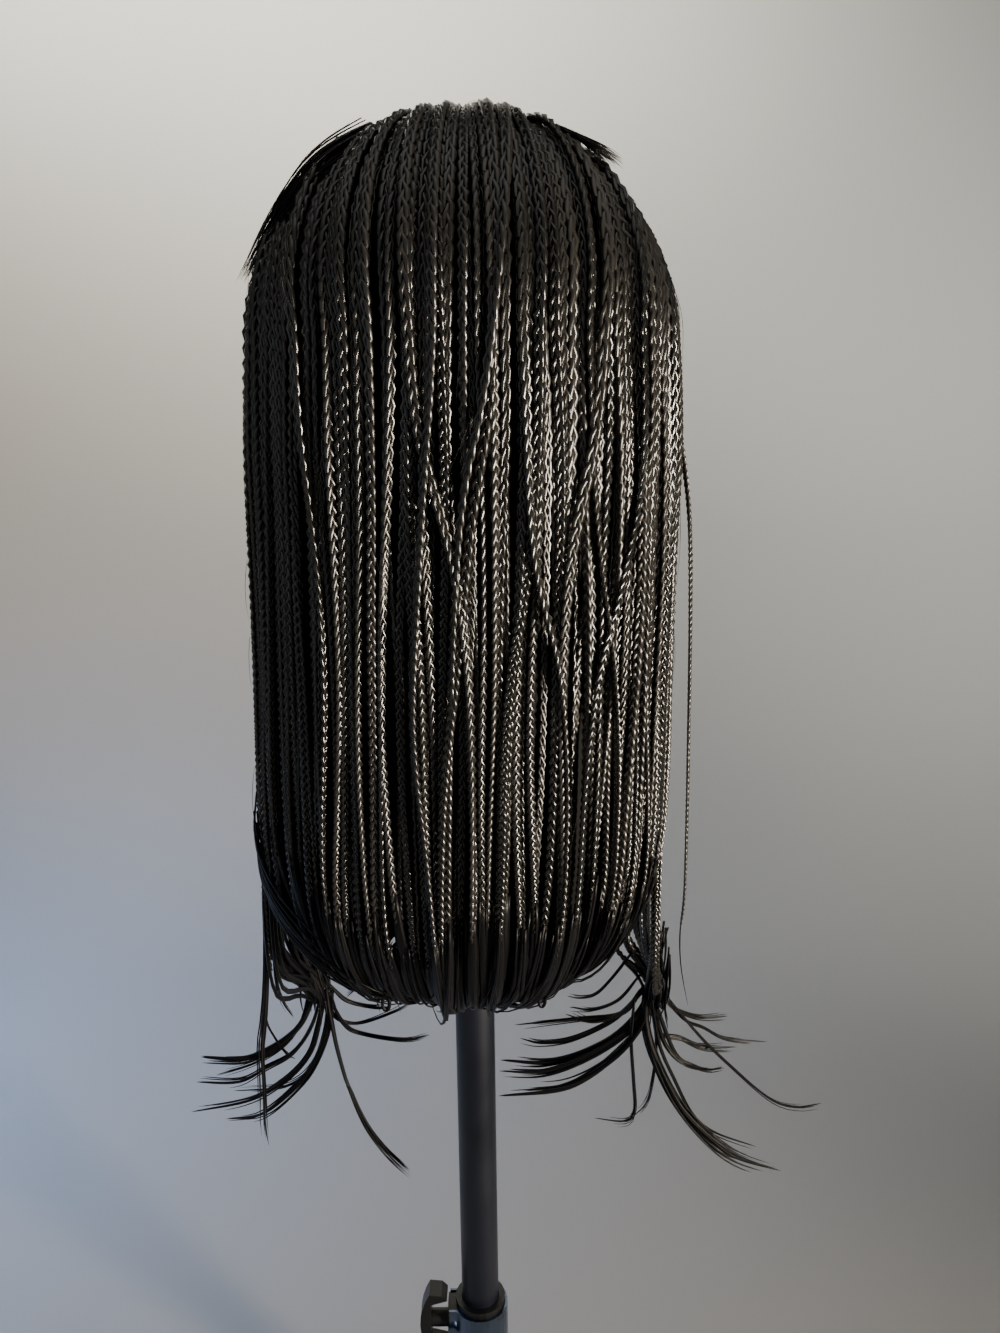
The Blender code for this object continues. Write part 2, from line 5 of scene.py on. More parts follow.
import bpy
import numpy as np
from bpy.props import FloatProperty, FloatVectorProperty, IntProperty, PointerProperty
from mathutils import Matrix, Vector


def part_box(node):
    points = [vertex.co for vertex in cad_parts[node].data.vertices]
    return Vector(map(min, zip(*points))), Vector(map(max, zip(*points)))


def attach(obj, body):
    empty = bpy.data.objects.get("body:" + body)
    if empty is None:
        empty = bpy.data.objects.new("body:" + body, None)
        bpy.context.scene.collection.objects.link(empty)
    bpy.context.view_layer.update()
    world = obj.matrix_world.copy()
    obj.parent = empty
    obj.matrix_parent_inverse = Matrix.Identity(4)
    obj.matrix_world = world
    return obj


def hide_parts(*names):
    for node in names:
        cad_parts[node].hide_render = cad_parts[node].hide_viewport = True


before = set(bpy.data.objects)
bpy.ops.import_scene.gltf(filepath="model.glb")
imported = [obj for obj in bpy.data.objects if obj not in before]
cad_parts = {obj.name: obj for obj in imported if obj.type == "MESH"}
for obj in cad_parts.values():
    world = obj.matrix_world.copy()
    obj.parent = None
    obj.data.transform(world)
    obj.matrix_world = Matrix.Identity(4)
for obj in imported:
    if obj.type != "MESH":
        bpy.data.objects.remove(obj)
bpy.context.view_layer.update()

bl_info = {
    "name": "Braid Wig",
    "version": (1, 0, 0),
    "blender": (4, 5, 0),
    "location": "View3D > Sidebar > Braid Wig",
    "description": "Builds the hair, cap, stand finishes and stage of a braid wig",
    "category": "Object",
}

BODY = "root"
MM = 0.001

# Seeds of the chance values
BRAID_LIST_SEED = 11
BRAID_SEED = 900
FRONT_SEED = 40
FRONT_BRAID_SEED = 300
TEMPLE_SEED = 71
SWEEP_SEED = 23
LOOP_SEED = 31
STRAY_SEED = 5


def node_corners(name):
    """Lowest and highest corner of a node of the frame."""
    low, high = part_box(name)
    return np.array(low), np.array(high)


# Places taken from the frame
CROWN_LOW, CROWN_HIGH = node_corners("crown_braids")
CAP_LOW, CAP_HIGH = node_corners("wig_cap")
PANEL_NODES = sorted(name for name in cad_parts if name.startswith("braid_panel_"))
PANEL_LOW = min(node_corners(name)[0][2] for name in PANEL_NODES)
WIDEST_HEIGHT = CROWN_LOW[2]
RIB_PROUD = 0.8 * MM
CURTAIN_RADIUS = (CROWN_HIGH[0] - CROWN_LOW[0]) / 2 - RIB_PROUD
CROWN_RISE = CROWN_HIGH[2] - WIDEST_HEIGHT - RIB_PROUD
CURTAIN_DROP = WIDEST_HEIGHT - PANEL_LOW
CAP_HALF_WIDTH = (CAP_HIGH[0] - CAP_LOW[0]) / 2
CAP_RISE = CAP_HIGH[2] - WIDEST_HEIGHT
CAP_HALF_DEPTH = CAP_RISE

# How the hair is laid. Angles in degrees from the middle of the wig's back.
CURTAIN_HALF_ANGLE = 125.0
PANEL_HALF_ANGLE = 100.0
HAIRLINE_FRONT_ELEVATION = 38.0
HAIRLINE_TEMPLE_ELEVATION = 12.0
CROWN_FAN = 0.62
CROWN_LIFT_SHARE = 0.3
DOME_POWER = 1.88
LEAN = -5.0 * MM

# Hanging hair below the widest level. Columns: share of the drop, share of the radius.
CURTAIN_PROFILE = np.array((
    (0.00, 0.978),
    (0.06, 0.992),
    (0.16, 1.006),
    (0.33, 1.006),
    (0.50, 1.006),
    (0.66, 1.012),
    (0.78, 1.010),
    (0.86, 0.990),
    (0.92, 0.950),
    (0.96, 0.890),
    (0.99, 0.820),
    (1.00, 0.760),
))


def ease(share):
    """A smooth step from 0 to 1: three times the square less twice the cube."""
    share = np.clip(share, 0.0, 1.0)
    return share * share * (3 - 2 * share)


def unit(vectors):
    """Vectors brought to length 1."""
    return vectors / np.linalg.norm(vectors, axis=-1, keepdims=True)


def direction(face_angle, elevation):
    """Unit directions from the middle of the widest level, in degrees from the face."""
    angle = np.radians(face_angle)
    height = np.radians(elevation)
    return np.stack([np.cos(height) * np.sin(angle), np.cos(height) * np.cos(angle),
                     np.sin(height) * np.ones_like(angle)], -1)


def reach(directions, half_width, half_depth, rise, power=2.0):
    """Distance to an ellipsoid along unit directions. A power under two draws its
    shoulders in."""
    across = np.hypot(directions[..., 0] / half_width, directions[..., 1] / half_depth)
    return (across ** power + np.abs(directions[..., 2] / rise) ** power) ** (-1 / power)


def crown_lines(side, along):
    """Directions of the braids over the crown: a quadratic curve of directions from the
    hairline over a point near the top to the widest level."""
    drop = HAIRLINE_FRONT_ELEVATION - HAIRLINE_TEMPLE_ELEVATION
    hairline = direction(side * (180 - CURTAIN_HALF_ANGLE),
                         HAIRLINE_FRONT_ELEVATION - drop * side ** 2)
    lower = direction(180 - side * CURTAIN_HALF_ANGLE, 0.0)
    over = np.stack([2 * CROWN_FAN * side, 0 * side, 2 + 0 * side], -1)
    outward = (side ** 2)[..., None]
    bend = over * (1 - outward) + (hairline + lower) / 2 * outward
    share = along[..., None]
    return unit(hairline * (1 - share) ** 2 + bend * 2 * share * (1 - share)
                + lower * share ** 2)


def lay_path(side, along, sunk):
    """Points on the hair's outer surface. Side is the place across the crown, from -1
    to 1. Along runs from 0 at the hairline to 1 at the widest level and on to 2 at the
    lowest tips. Sunk is the depth below the outer surface. Over the crown a point lies
    on an ellipsoid, drawn in to the cap at the hairline, and below it on a turned
    profile."""
    upper = np.clip(along, 0, 1)
    lower = np.clip(along - 1, 0, 1.1)
    line = crown_lines(side, upper)
    lift = ease(upper / CROWN_LIFT_SHARE)
    on_cap = reach(line, CAP_HALF_WIDTH, CAP_HALF_DEPTH, CAP_RISE) + 3.0 * MM
    half = CURTAIN_RADIUS * CURTAIN_PROFILE[0, 1]
    dome = reach(line, half, half, CROWN_RISE, DOME_POWER)
    out = on_cap * (1 - lift) + (dome - sunk) * lift
    crown = line * out[..., None]
    angle = np.radians(side * CURTAIN_HALF_ANGLE)
    radius = CURTAIN_RADIUS * np.interp(lower, *CURTAIN_PROFILE.T) - sunk
    hang = np.stack([radius * np.sin(angle) + LEAN * ease(lower), -radius * np.cos(angle),
                     -CURTAIN_DROP * lower], -1)
    points = np.where((along < 1)[..., None], crown, hang)
    return points + np.array([0.0, 0.0, WIDEST_HEIGHT])


def smooth(points, passes):
    """Points drawn towards the middle of their neighbours, ends kept."""
    for _ in range(passes):
        points[1:-1] = (points[:-2] + 2 * points[1:-1] + points[2:]) / 4
    return points


def lengths(points):
    """Distance along a path at each of its points."""
    steps = np.linalg.norm(np.diff(points, axis=0), axis=1)
    return np.concatenate([[0.0], np.cumsum(steps)])


def resample(points, at, distance):
    """Points of a path at given distances along it."""
    return np.stack([np.interp(distance, at, points[:, axis]) for axis in range(3)], -1)


def outward_from_head(points):
    """Directions away from the wig: from the pole's axis below the widest level, and
    from its middle above it."""
    away = points - np.array([0.0, 0.0, WIDEST_HEIGHT])
    away[:, 2] = np.maximum(away[:, 2], 0.0)
    return unit(away)


def path_frame(points, turn):
    """Tangent, sideways and outward directions along a path, the last two turned about
    the first by an angle in radians."""
    tangent = unit(np.gradient(points, axis=0))
    out = outward_from_head(points)
    out = unit(out - (out * tangent).sum(-1, keepdims=True) * tangent)
    across = np.cross(tangent, out)
    turn = np.asarray(turn)[..., None]
    return (tangent, across * np.cos(turn) + out * np.sin(turn),
            out * np.cos(turn) - across * np.sin(turn))


class Hair:
    """Collects tubes of hair as arrays and makes one mesh of them."""

    def __init__(self):
        self.points = []
        self.quads = []
        self.caps = []
        self.fibre = []
        self.tone = []
        self.loose = []
        self.count = 0

    def add_tube(self, rings, along, tone, loose=False):
        """A closed tube from rings of points, shaped (sections, sides, 3). Its fibre
        attribute holds the place across the lock, in millimetres from its middle line,
        and the place along it; tone is one value for the whole lock."""
        sections, sides = rings.shape[:2]
        index = self.count + np.arange(sections * sides).reshape(sections, sides)
        around = np.roll(index, -1, axis=1)
        self.quads.append(np.stack([index[:-1], around[:-1], around[1:], index[1:]],
                                   -1).reshape(-1, 4))
        self.caps.append(np.stack([index[0, ::-1], index[-1]]))
        self.loose.append((loose, (sections - 1) * sides, sides))
        middle = rings.mean(axis=1, keepdims=True)
        spread = np.linalg.norm(rings - middle, axis=-1)
        wave = np.cos(np.arange(sides) * 2 * np.pi / sides)[None, :]
        fibre = np.stack([spread * wave / MM, np.repeat(along[:, None], sides, 1) / MM,
                          np.full((sections, sides), tone * 100.0)], -1)
        self.points.append(rings.reshape(-1, 3))
        self.fibre.append(fibre.reshape(-1, 3))
        self.tone.append(np.full(sections * sides, tone))
        self.count += sections * sides

    def make(self, name, slot):
        """One mesh of all the tubes, braided hair in its first material and loose hair
        in its second."""
        groups = [np.concatenate(self.quads)]
        second = [np.repeat([row[0] for row in self.loose], [row[1] for row in self.loose])]
        for sides in sorted({cap.shape[1] for cap in self.caps}):
            groups.append(np.concatenate([cap for cap in self.caps if cap.shape[1] == sides]))
            second.append(np.repeat([row[0] for row in self.loose if row[2] == sides], 2))
        mesh = mesh_from(name, np.concatenate(self.points), groups)
        mesh.polygons.foreach_set("material_index",
                                  np.concatenate(second).astype(np.int32))
        fibre = mesh.attributes.new("fibre", "FLOAT_VECTOR", "POINT")
        fibre.data.foreach_set("vector", np.concatenate(self.fibre).ravel())
        tone = mesh.attributes.new("tone", "FLOAT", "POINT")
        tone.data.foreach_set("value", np.concatenate(self.tone))
        mesh.materials.append(finish_of("braided synthetic hair"))
        # Loose hair takes a darker copy of the same fibre's colours, painted shade
        return add_piece(name, mesh, finish_of("loose synthetic hair in painted shade"))


def mesh_from(name, points, groups):
    """A mesh from points and groups of faces, each group an array of one face size."""
    mesh = bpy.data.meshes.new(name)
    corners = np.concatenate([group.ravel() for group in groups])
    sizes = np.concatenate([np.full(len(group), group.shape[1]) for group in groups])
    mesh.vertices.add(len(points))
    mesh.vertices.foreach_set("co", points.astype(np.float32).ravel())
    mesh.loops.add(len(corners))
    mesh.loops.foreach_set("vertex_index", corners.astype(np.int32))
    mesh.polygons.add(len(sizes))
    mesh.polygons.foreach_set("loop_start", (np.cumsum(sizes) - sizes).astype(np.int32))
    mesh.update(calc_edges=True)
    mesh.validate()
    mesh.shade_smooth()
    return mesh


def add_piece(name, mesh, material):
    """An object at the origin with the mesh and its last material."""
    piece = bpy.data.objects.new(name, mesh)
    bpy.context.scene.collection.objects.link(piece)
    mesh.materials.append(material)
    return piece


def closed_wall(outer, inner):
    """Points and faces of a wall between two grids, closed along its rim."""
    rows, columns = outer.shape[:2]
    index = np.arange(rows * columns).reshape(rows, columns)
    front = quads_of(index)
    back = quads_of(index + rows * columns)[:, ::-1]
    rim = np.concatenate([index[0, :-1], index[:-1, -1], index[-1, :0:-1], index[:0:-1, 0]])
    after = np.roll(rim, -1)
    edge = np.stack([rim, rim + rows * columns, after + rows * columns, after], -1)
    points = np.concatenate([outer.reshape(-1, 3), inner.reshape(-1, 3)])
    return points, [np.concatenate([front, back, edge])]


def quads_of(index):
    """The faces between the rows and columns of a grid of point numbers."""
    return np.stack([index[:-1, :-1], index[:-1, 1:], index[1:, 1:], index[1:, :-1]],
                    -1).reshape(-1, 4)


def turned_shape(profile, segments):
    """Points and faces of a body turned about the pole's axis. The profile runs up the
    outside from the axis or round a closed section; a point on the axis closes it with
    a ring too small to see."""
    profile = np.array(profile, float)
    radius = np.maximum(profile[:, 0], 0.01 * MM)
    angle = np.linspace(0, 2 * np.pi, segments, endpoint=False)
    points = np.stack([radius[:, None] * np.cos(angle), radius[:, None] * np.sin(angle),
                       profile[:, 1:] + 0 * angle], -1)
    rows = len(profile)
    index = np.arange(rows * segments).reshape(rows, segments)
    index = np.concatenate([index, index[:1]])
    index = np.concatenate([index, index[:, :1]], axis=1)
    return points.reshape(-1, 3), [quads_of(index)[:, ::-1]]


def rounded_profile(corners, radius, steps):
    """A closed section with each corner cut by an arc, taken as a quadratic curve."""
    corners = np.array(corners, float)
    before = np.roll(corners, 1, axis=0)
    after = np.roll(corners, -1, axis=0)
    back = before - corners
    ahead = after - corners
    length_back = np.linalg.norm(back, axis=1, keepdims=True)
    length_ahead = np.linalg.norm(ahead, axis=1, keepdims=True)
    cut = np.minimum(radius, 0.45 * np.minimum(length_back, length_ahead))
    start = (corners + back / length_back * cut)[:, None]
    end = (corners + ahead / length_ahead * cut)[:, None]
    share = np.linspace(0, 1, steps)[None, :, None]
    middle = corners[:, None]
    curve = start * (1 - share) ** 2 + middle * 2 * share * (1 - share) + end * share ** 2
    return curve.reshape(-1, 2)


# Shape of a braid. Shares of half its width: how far a strand swings to each side, its own
# half width and half thickness, how much fuller it is in front, and how far it goes in
# depth at the start and how much farther at the end.
STRAND_SWING = 0.56
STRAND_WIDE = 0.47
STRAND_THICK = 0.42
STRAND_FULLER = 0.16
STRAND_DEPTH = 0.17
STRAND_DEEPER = 0.08
# A braid starts fuller than its named width and gets slimmer along its way, and its lobes
# get shorter by this power of what is left of it.
BRAID_FULL = 1.36
BRAID_SLIMMER = 0.48
LOBE_POWER = 1.9


def add_braid(hair, path, width, pitch_top, pitch_low, tone, turn, detail):
    """A three-strand braid along a path. Strand k lies sideways by a sine of the phase
    and in depth by a sine of twice the phase, the three a third of a turn apart. Its
    section is an ellipse square to the strand. The braid is slimmer over the first six
    and the last four hundredths of its way. Detail is (steps in a turn, sides)."""
    steps, sides = detail
    at = lengths(path)
    share = at / at[-1]
    pitch = 3 * (pitch_low + (pitch_top - pitch_low) * (1 - share) ** LOBE_POWER)
    phase = np.concatenate([[0.0], np.cumsum(np.diff(at) / ((pitch[1:] + pitch[:-1]) / 2))])
    count = int(phase[-1] * steps)
    spots = np.arange(count + 1) / steps
    distance = np.interp(spots, phase, at)
    middle = resample(path, at, distance)
    share = distance / at[-1]
    local_pitch = np.interp(distance, at, pitch)
    tangent, across, out = path_frame(middle, np.interp(share, *turn))
    half = width / 2 * (BRAID_FULL - BRAID_SLIMMER * share)
    half = half * (0.72 + 0.28 * ease(share / 0.06)) * (1 - 0.35 * ease((share - 0.96) / 0.04))
    swing = STRAND_SWING * half
    depth = (STRAND_DEPTH + STRAND_DEEPER * share) * half
    angle = np.arange(sides) * 2 * np.pi / sides
    for strand in range(3):
        beat = 2 * np.pi * (spots + strand / 3)
        sideways = swing * np.sin(beat)
        slope = swing * np.cos(beat) * 2 * np.pi / local_pitch
        line = middle + across * sideways[:, None] + out * (depth * np.sin(2 * beat))[:, None]
        square = unit(across - tangent * slope[:, None])
        front = 1 + STRAND_FULLER * np.sin(2 * beat)
        wide = STRAND_WIDE * half * front
        thick = STRAND_THICK * half * front
        rings = (line[:, None, :]
                 + square[:, None, :] * (wide[:, None] * np.cos(angle))[..., None]
                 + out[:, None, :] * (thick[:, None] * np.sin(angle))[..., None])
        hair.add_tube(rings, distance, tone)


def add_wisp(hair, path, half_width, half_depth, tone, sides, sections, taper=0.55):
    """A tapered wisp of loose hair along a path: full at its root and drawn to a point,
    its section an ellipse. A small taper keeps its width almost to the tip."""
    at = lengths(path)
    distance = np.linspace(0, at[-1], sections)
    middle = resample(path, at, distance)
    share = distance / at[-1]
    tangent, across, out = path_frame(middle, np.zeros(sections))
    full = 0.55 + 0.45 * ease(share / 0.25)
    body = full * (1 - share) ** taper + 0.02
    angle = np.arange(sides) * 2 * np.pi / sides
    rings = (middle[:, None, :]
             + across[:, None, :] * (half_width * body[:, None] * np.cos(angle))[..., None]
             + out[:, None, :] * (half_depth * body[:, None] * np.sin(angle))[..., None])
    hair.add_tube(rings, distance, tone, True)


def through(points, count):
    """A smooth path through a few points: a cubic between each two, its slope at a point
    taken from the points on both sides."""
    points = np.array(points, float)
    padded = np.vstack([2 * points[0] - points[1], points, 2 * points[-1] - points[-2]])
    place = np.linspace(0, len(points) - 1, count)
    first = np.minimum(place.astype(int), len(points) - 2)
    share = (place - first)[:, None]
    before, start, end, after = (padded[first + step] for step in range(4))
    return 0.5 * (2 * start + (end - before) * share
                  + (2 * before - 5 * start + 4 * end - after) * share ** 2
                  + (3 * start - before - 3 * end + after) * share ** 3)


# The camera, and places seen in its picture
CAMERA_PLACE = (0.0165, -0.512, 0.680)
CAMERA_PITCH = 12.0
CAMERA_ROLL = -0.7
PICTURE_SIZE = (1000, 1333)
PICTURE_FOCUS = 1000.0
SENSOR = 36.0


def camera_axes():
    """The camera's right, up and forward directions."""
    pitch = math.radians(CAMERA_PITCH)
    roll = math.radians(CAMERA_ROLL)
    right = np.array([1.0, 0.0, 0.0])
    up = np.array([0.0, math.sin(pitch), math.cos(pitch)])
    forward = np.array([0.0, math.cos(pitch), -math.sin(pitch)])
    return (right * math.cos(roll) + up * math.sin(roll),
            up * math.cos(roll) - right * math.sin(roll), forward)


def seen_at(places, depths):
    """Points where sight lines through places in the picture meet upright planes at
    given distances behind the pole, in metres."""
    right, up, forward = camera_axes()
    places = np.array(places, float)
    over = (places[:, 0] - PICTURE_SIZE[0] / 2) / PICTURE_FOCUS
    above = (PICTURE_SIZE[1] / 2 - places[:, 1]) / PICTURE_FOCUS
    ray = forward + over[:, None] * right + above[:, None] * up
    start = np.array(CAMERA_PLACE)
    return start + ray * ((np.asarray(depths) - start[1]) / ray[:, 1])[:, None]


# Hanging hair. Counts over the whole arc from ear to ear.
OUTER_FROM_HAIRLINE = 46
OUTER_EXTRA = 12
UNDER_COUNT = 58
OUTER_WIDTH = 4.8 * MM
UNDER_WIDTH = 4.6 * MM
LOBE_TOP = 11.5 * MM
LOBE_LOW = 3.7 * MM
UNDER_SUNK = 3.2 * MM
BRAID_HALF_DEPTH = 1.3 * MM
CROSSING_PROUD = 2.0 * MM


# Braids that cross the others. Columns: place across at each level along.
CROSSING_LEVELS = (0.50, 0.90, 1.10, 1.20, 1.31, 1.42, 1.57, 1.72, 1.92)
CROSSINGS = (
    (0.156, 0.085, 0.050, 0.015, 0.002, -0.005, -0.010, -0.012, -0.012),
    (-0.090, -0.085, -0.075, -0.045, 0.000, 0.025, 0.030, 0.030, 0.030),
    (0.080, 0.075, 0.066, 0.032, 0.020, 0.004, -0.020, -0.030, -0.030),
    (0.110, 0.115, 0.120, 0.120, 0.125, 0.182, 0.210, 0.215, 0.210),
    (0.160, 0.150, 0.145, 0.142, 0.138, 0.104, 0.090, 0.085, 0.085),
    (0.400, 0.390, 0.380, 0.375, 0.363, 0.287, 0.250, 0.240, 0.240),
    (0.240, 0.250, 0.255, 0.260, 0.270, 0.300, 0.330, 0.335, 0.330),
    (-0.030, -0.035, -0.040, -0.050, -0.060, -0.072, -0.078, -0.050, -0.040),
    (0.300, 0.290, 0.270, 0.235, 0.205, 0.195, 0.200, 0.215, 0.220),
    (-0.330, -0.320, -0.300, -0.280, -0.262, -0.250, -0.255, -0.270, -0.270),
)


# Loose ends. The lowest tips, how unevenly they end, and the least and greatest radius of
# the curl. A curl is drawn in by a share of its radius.
LOWEST_HAIR = PANEL_LOW - 15.0 * MM
TIP_UNEVEN = 11
CURL_RADIUS = (12 * MM, 70 * MM)
CURL_DEPTH = 0.55


def drift(side, along, seed, shared_way):
    """Sideways wandering of a braid: slow waves that neighbours share, so that they
    gather in clumps, and waves of its own. Braids underneath share the opposite way and
    so lie behind the gaps."""
    own = np.random.default_rng(seed)
    hang = 0.12 + 0.88 * ease((along - 0.5) / 0.9)
    shared = (0.0056 * np.sin(58 * side + 2.6 * along)
              + 0.0056 * np.sin(97 * side - 3.7 * along + 1.3)
              + 0.0078 * np.sin(23 * side + 4.4 * along + 0.6))
    phase = own.uniform(0, 2 * np.pi, 4)
    alone = (0.0072 * np.sin(2.1 * along + phase[0]) + 0.0058 * np.sin(5.3 * along + phase[1])
             + 0.0024 * np.sin(11.0 * along + phase[2]))
    return (shared * shared_way + alone) * hang


def curl_under(start, down, radius, angle, swirl, count):
    """The way of a loose end: an arc from its start, first down and then inwards, drawn
    in across by a fixed share."""
    inward = -np.array([start[0], start[1], 0.0])
    inward /= np.linalg.norm(inward)
    sideways = np.cross(inward, np.array([0.0, 0.0, 1.0]))
    turn = np.linspace(0, angle, count)[:, None]
    down = down / np.linalg.norm(down)
    return (start + down * radius * np.sin(turn)
            + inward * CURL_DEPTH * radius * (1 - np.cos(turn))
            + sideways * swirl * (turn / angle) ** 2)


def add_loose_end(hair, path, width, rng):
    """The unbraided end of a braid: a flat tuft that curls under and ends inside, with
    wisps beside it."""
    start = path[-4]
    down = path[-1] - path[-8]
    bottom = LOWEST_HAIR + rng.uniform(0, TIP_UNEVEN) * MM
    steep = -down[2] / np.linalg.norm(down)
    radius = float(np.clip((start[2] - bottom) / steep, *CURL_RADIUS))
    angle = rng.uniform(1.9, 2.6)
    swirl = rng.normal(0, 7) * MM
    middle = curl_under(start, down, radius, angle, swirl, 18)
    tone = rng.uniform(0, 1)
    add_wisp(hair, middle, width * 0.80, width * 0.32, tone, 6, 14, 0.3)
    for _ in range(4):
        own = curl_under(start, down, radius * rng.uniform(0.88, 1.08),
                         angle * rng.uniform(0.7, 1.1), swirl + rng.normal(0, 5) * MM, 18)
        shift = rng.normal(0, 1.3, 3) * MM
        add_wisp(hair, own + shift, width * 0.30, width * 0.18, tone, 4, 12)


def braid_way(side, first, last, sunk, seed, shared_way=1.0):
    """The way of one braid from its start to its lowest end. Its place across is one
    number or a row of CROSSINGS."""
    own = np.random.default_rng(seed)
    along = np.linspace(first, last, 110)
    if np.ndim(side):
        place = np.interp(along, CROSSING_LEVELS, side)
        moved = smooth(place[:, None], 60)[:, 0] + 0.3 * drift(place, along, seed, 1.0)
    else:
        moved = side + drift(side, along, seed, shared_way)
    rise = np.interp(along, (first, first + 0.22), (3.6 * (first > 0.05), 0.0)) * MM
    phase = own.uniform(0, 2 * np.pi, 2)
    wave = 0.8 * np.sin(3.3 * along + phase[0]) + 0.5 * np.sin(7.9 * along + phase[1])
    depth = BRAID_HALF_DEPTH + sunk + rise + wave * MM
    return smooth(lay_path(moved, along, depth), 2)


def braid_end(side, rng):
    """How far down a braid is braided: less at the left, where the loose ends are
    longer."""
    left = ease((-side - 0.1) / 0.5)
    return rng.uniform(1.84 - 0.12 * left, 1.95 - 0.08 * left)


def braid_list(settings):
    """All hanging braids as rows: place across, first and last place along, depth,
    width as a share, and whether the braid lies under the others."""
    rng = np.random.default_rng(BRAID_LIST_SEED)
    rows = []
    upper = np.linspace(-1, 1, settings.outer_upper)
    for side in upper:
        rows.append((side, 0.0, braid_end(side, rng), rng.uniform(0.4, 1.6) * MM,
                     rng.normal(1.0, 0.05), False))
    lower = (upper[1:] + upper[:-1]) / 2
    extra = rng.uniform(-0.97, 0.97, settings.outer_extra)
    for side in np.concatenate([lower, extra]):
        rows.append((side, rng.uniform(0.20, 0.55), braid_end(side, rng),
                     rng.uniform(0.8, 2.6) * MM, rng.normal(0.97, 0.05), False))
    for places in CROSSINGS:
        rows.append((np.array(places), 0.45, rng.uniform(1.84, 1.92), -CROSSING_PROUD,
                     1.0, False))
    for side in np.linspace(-0.99, 0.99, settings.under):
        rows.append((side, rng.uniform(0.20, 0.50), braid_end(side, rng), UNDER_SUNK,
                     UNDER_WIDTH / OUTER_WIDTH, True))
    return rows


def slow_twist(rng):
    """How a braid turns about its own line: shares of its way, and an angle at each that
    grows by chance steps."""
    return np.linspace(0, 1, 7), np.cumsum(rng.normal(0, 0.35, 7))


def add_hanging(hair, row, seed):
    """One hanging braid from a row of the list, with its loose end."""
    side, first, last, sunk, width, under = row
    rng = np.random.default_rng(BRAID_SEED + seed)
    path = braid_way(side, first, last, sunk, seed, -1.0 if under else 1.0)
    turn = slow_twist(rng)
    tone = rng.uniform(0, 1)
    detail = (4, 3) if under else (6, 4)
    add_braid(hair, path, OUTER_WIDTH * width, LOBE_TOP * rng.uniform(0.8, 1.35),
              LOBE_LOW * rng.uniform(0.85, 1.2), tone, turn, detail)
    add_loose_end(hair, path, OUTER_WIDTH * width * (1.1 if under else 0.85), rng)


# Hair behind the braids: depth of its two sides below the hair's surface, and the height
# of its ribs and how many there are from ear to ear
INNER_DEPTHS = (6.2 * MM, 7.6 * MM)
INNER_RIB = 0.7 * MM
INNER_RIBS = 76


def inner_layer():
    """The hair behind the braids, one closed wall: a grid over place across and along,
    its outer side waved by a sine across for the braids it stands for, its inner side
    plain."""
    across = np.linspace(-0.99, 0.99, 181)[None, :]
    along = np.linspace(0.03, 1.90, 46)[:, None]
    side = across + 0 * along
    place = along + 0 * across + 0.03 * np.sin(61 * across) * (along > 1.8)
    ribs = INNER_RIB * np.cos(np.pi * INNER_RIBS * side + 3 * np.sin(2 * place))
    outer = lay_path(side, place, INNER_DEPTHS[0] + ribs)
    inner = lay_path(side, place, INNER_DEPTHS[1] + 0 * ribs)
    return closed_wall(outer, inner)


# Loose strands below the left gather. Columns: half width in mm, distance of the tip
# behind the pole in mm, places in the picture from the gather to the tip.
LEFT_STRANDS = (
    (1.5, 30, ((318, 985), (303, 1021), (287, 1038), (264, 1052), (243, 1059), (201, 1057))),
    (1.1, 36, ((322, 990), (312, 1025), (294, 1052), (266, 1068), (239, 1082), (196, 1082))),
    (1.2, 42, ((326, 990), (319, 1025), (310, 1054), (287, 1079), (251, 1100), (191, 1112))),
    (1.5, 48, ((332, 990), (329, 1025), (318, 1057), (301, 1082), (264, 1113), (226, 1119))),
    (0.8, 33, ((310, 990), (300, 1024), (283, 1046), (252, 1064), (216, 1075))),
    (0.8, 52, ((328, 990), (325, 1030), (312, 1066), (285, 1086), (233, 1091))),
    (1.4, 24, ((292, 775), (277, 825), (266, 880), (267, 936), (267, 980), (265, 1018),
               (262, 1048), (264, 1088), (265, 1123), (269, 1146))),
    (0.7, 28, ((265, 980), (266, 1018), (275, 1038), (287, 1054), (296, 1059))),
    (0.9, 34, ((272, 900), (275, 971), (282, 1000), (294, 1018))),
    (1.0, 55, ((330, 985), (346, 1000), (371, 1007), (391, 1007))),
    (0.8, 62, ((326, 1000), (337, 1018), (359, 1023), (394, 1011), (419, 998))),
    (0.9, 58, ((330, 1000), (343, 1023), (359, 1033), (403, 1040), (430, 1035))),
    (0.9, 40, ((300, 910), (345, 968), (362, 968), (359, 984), (346, 998))),
)
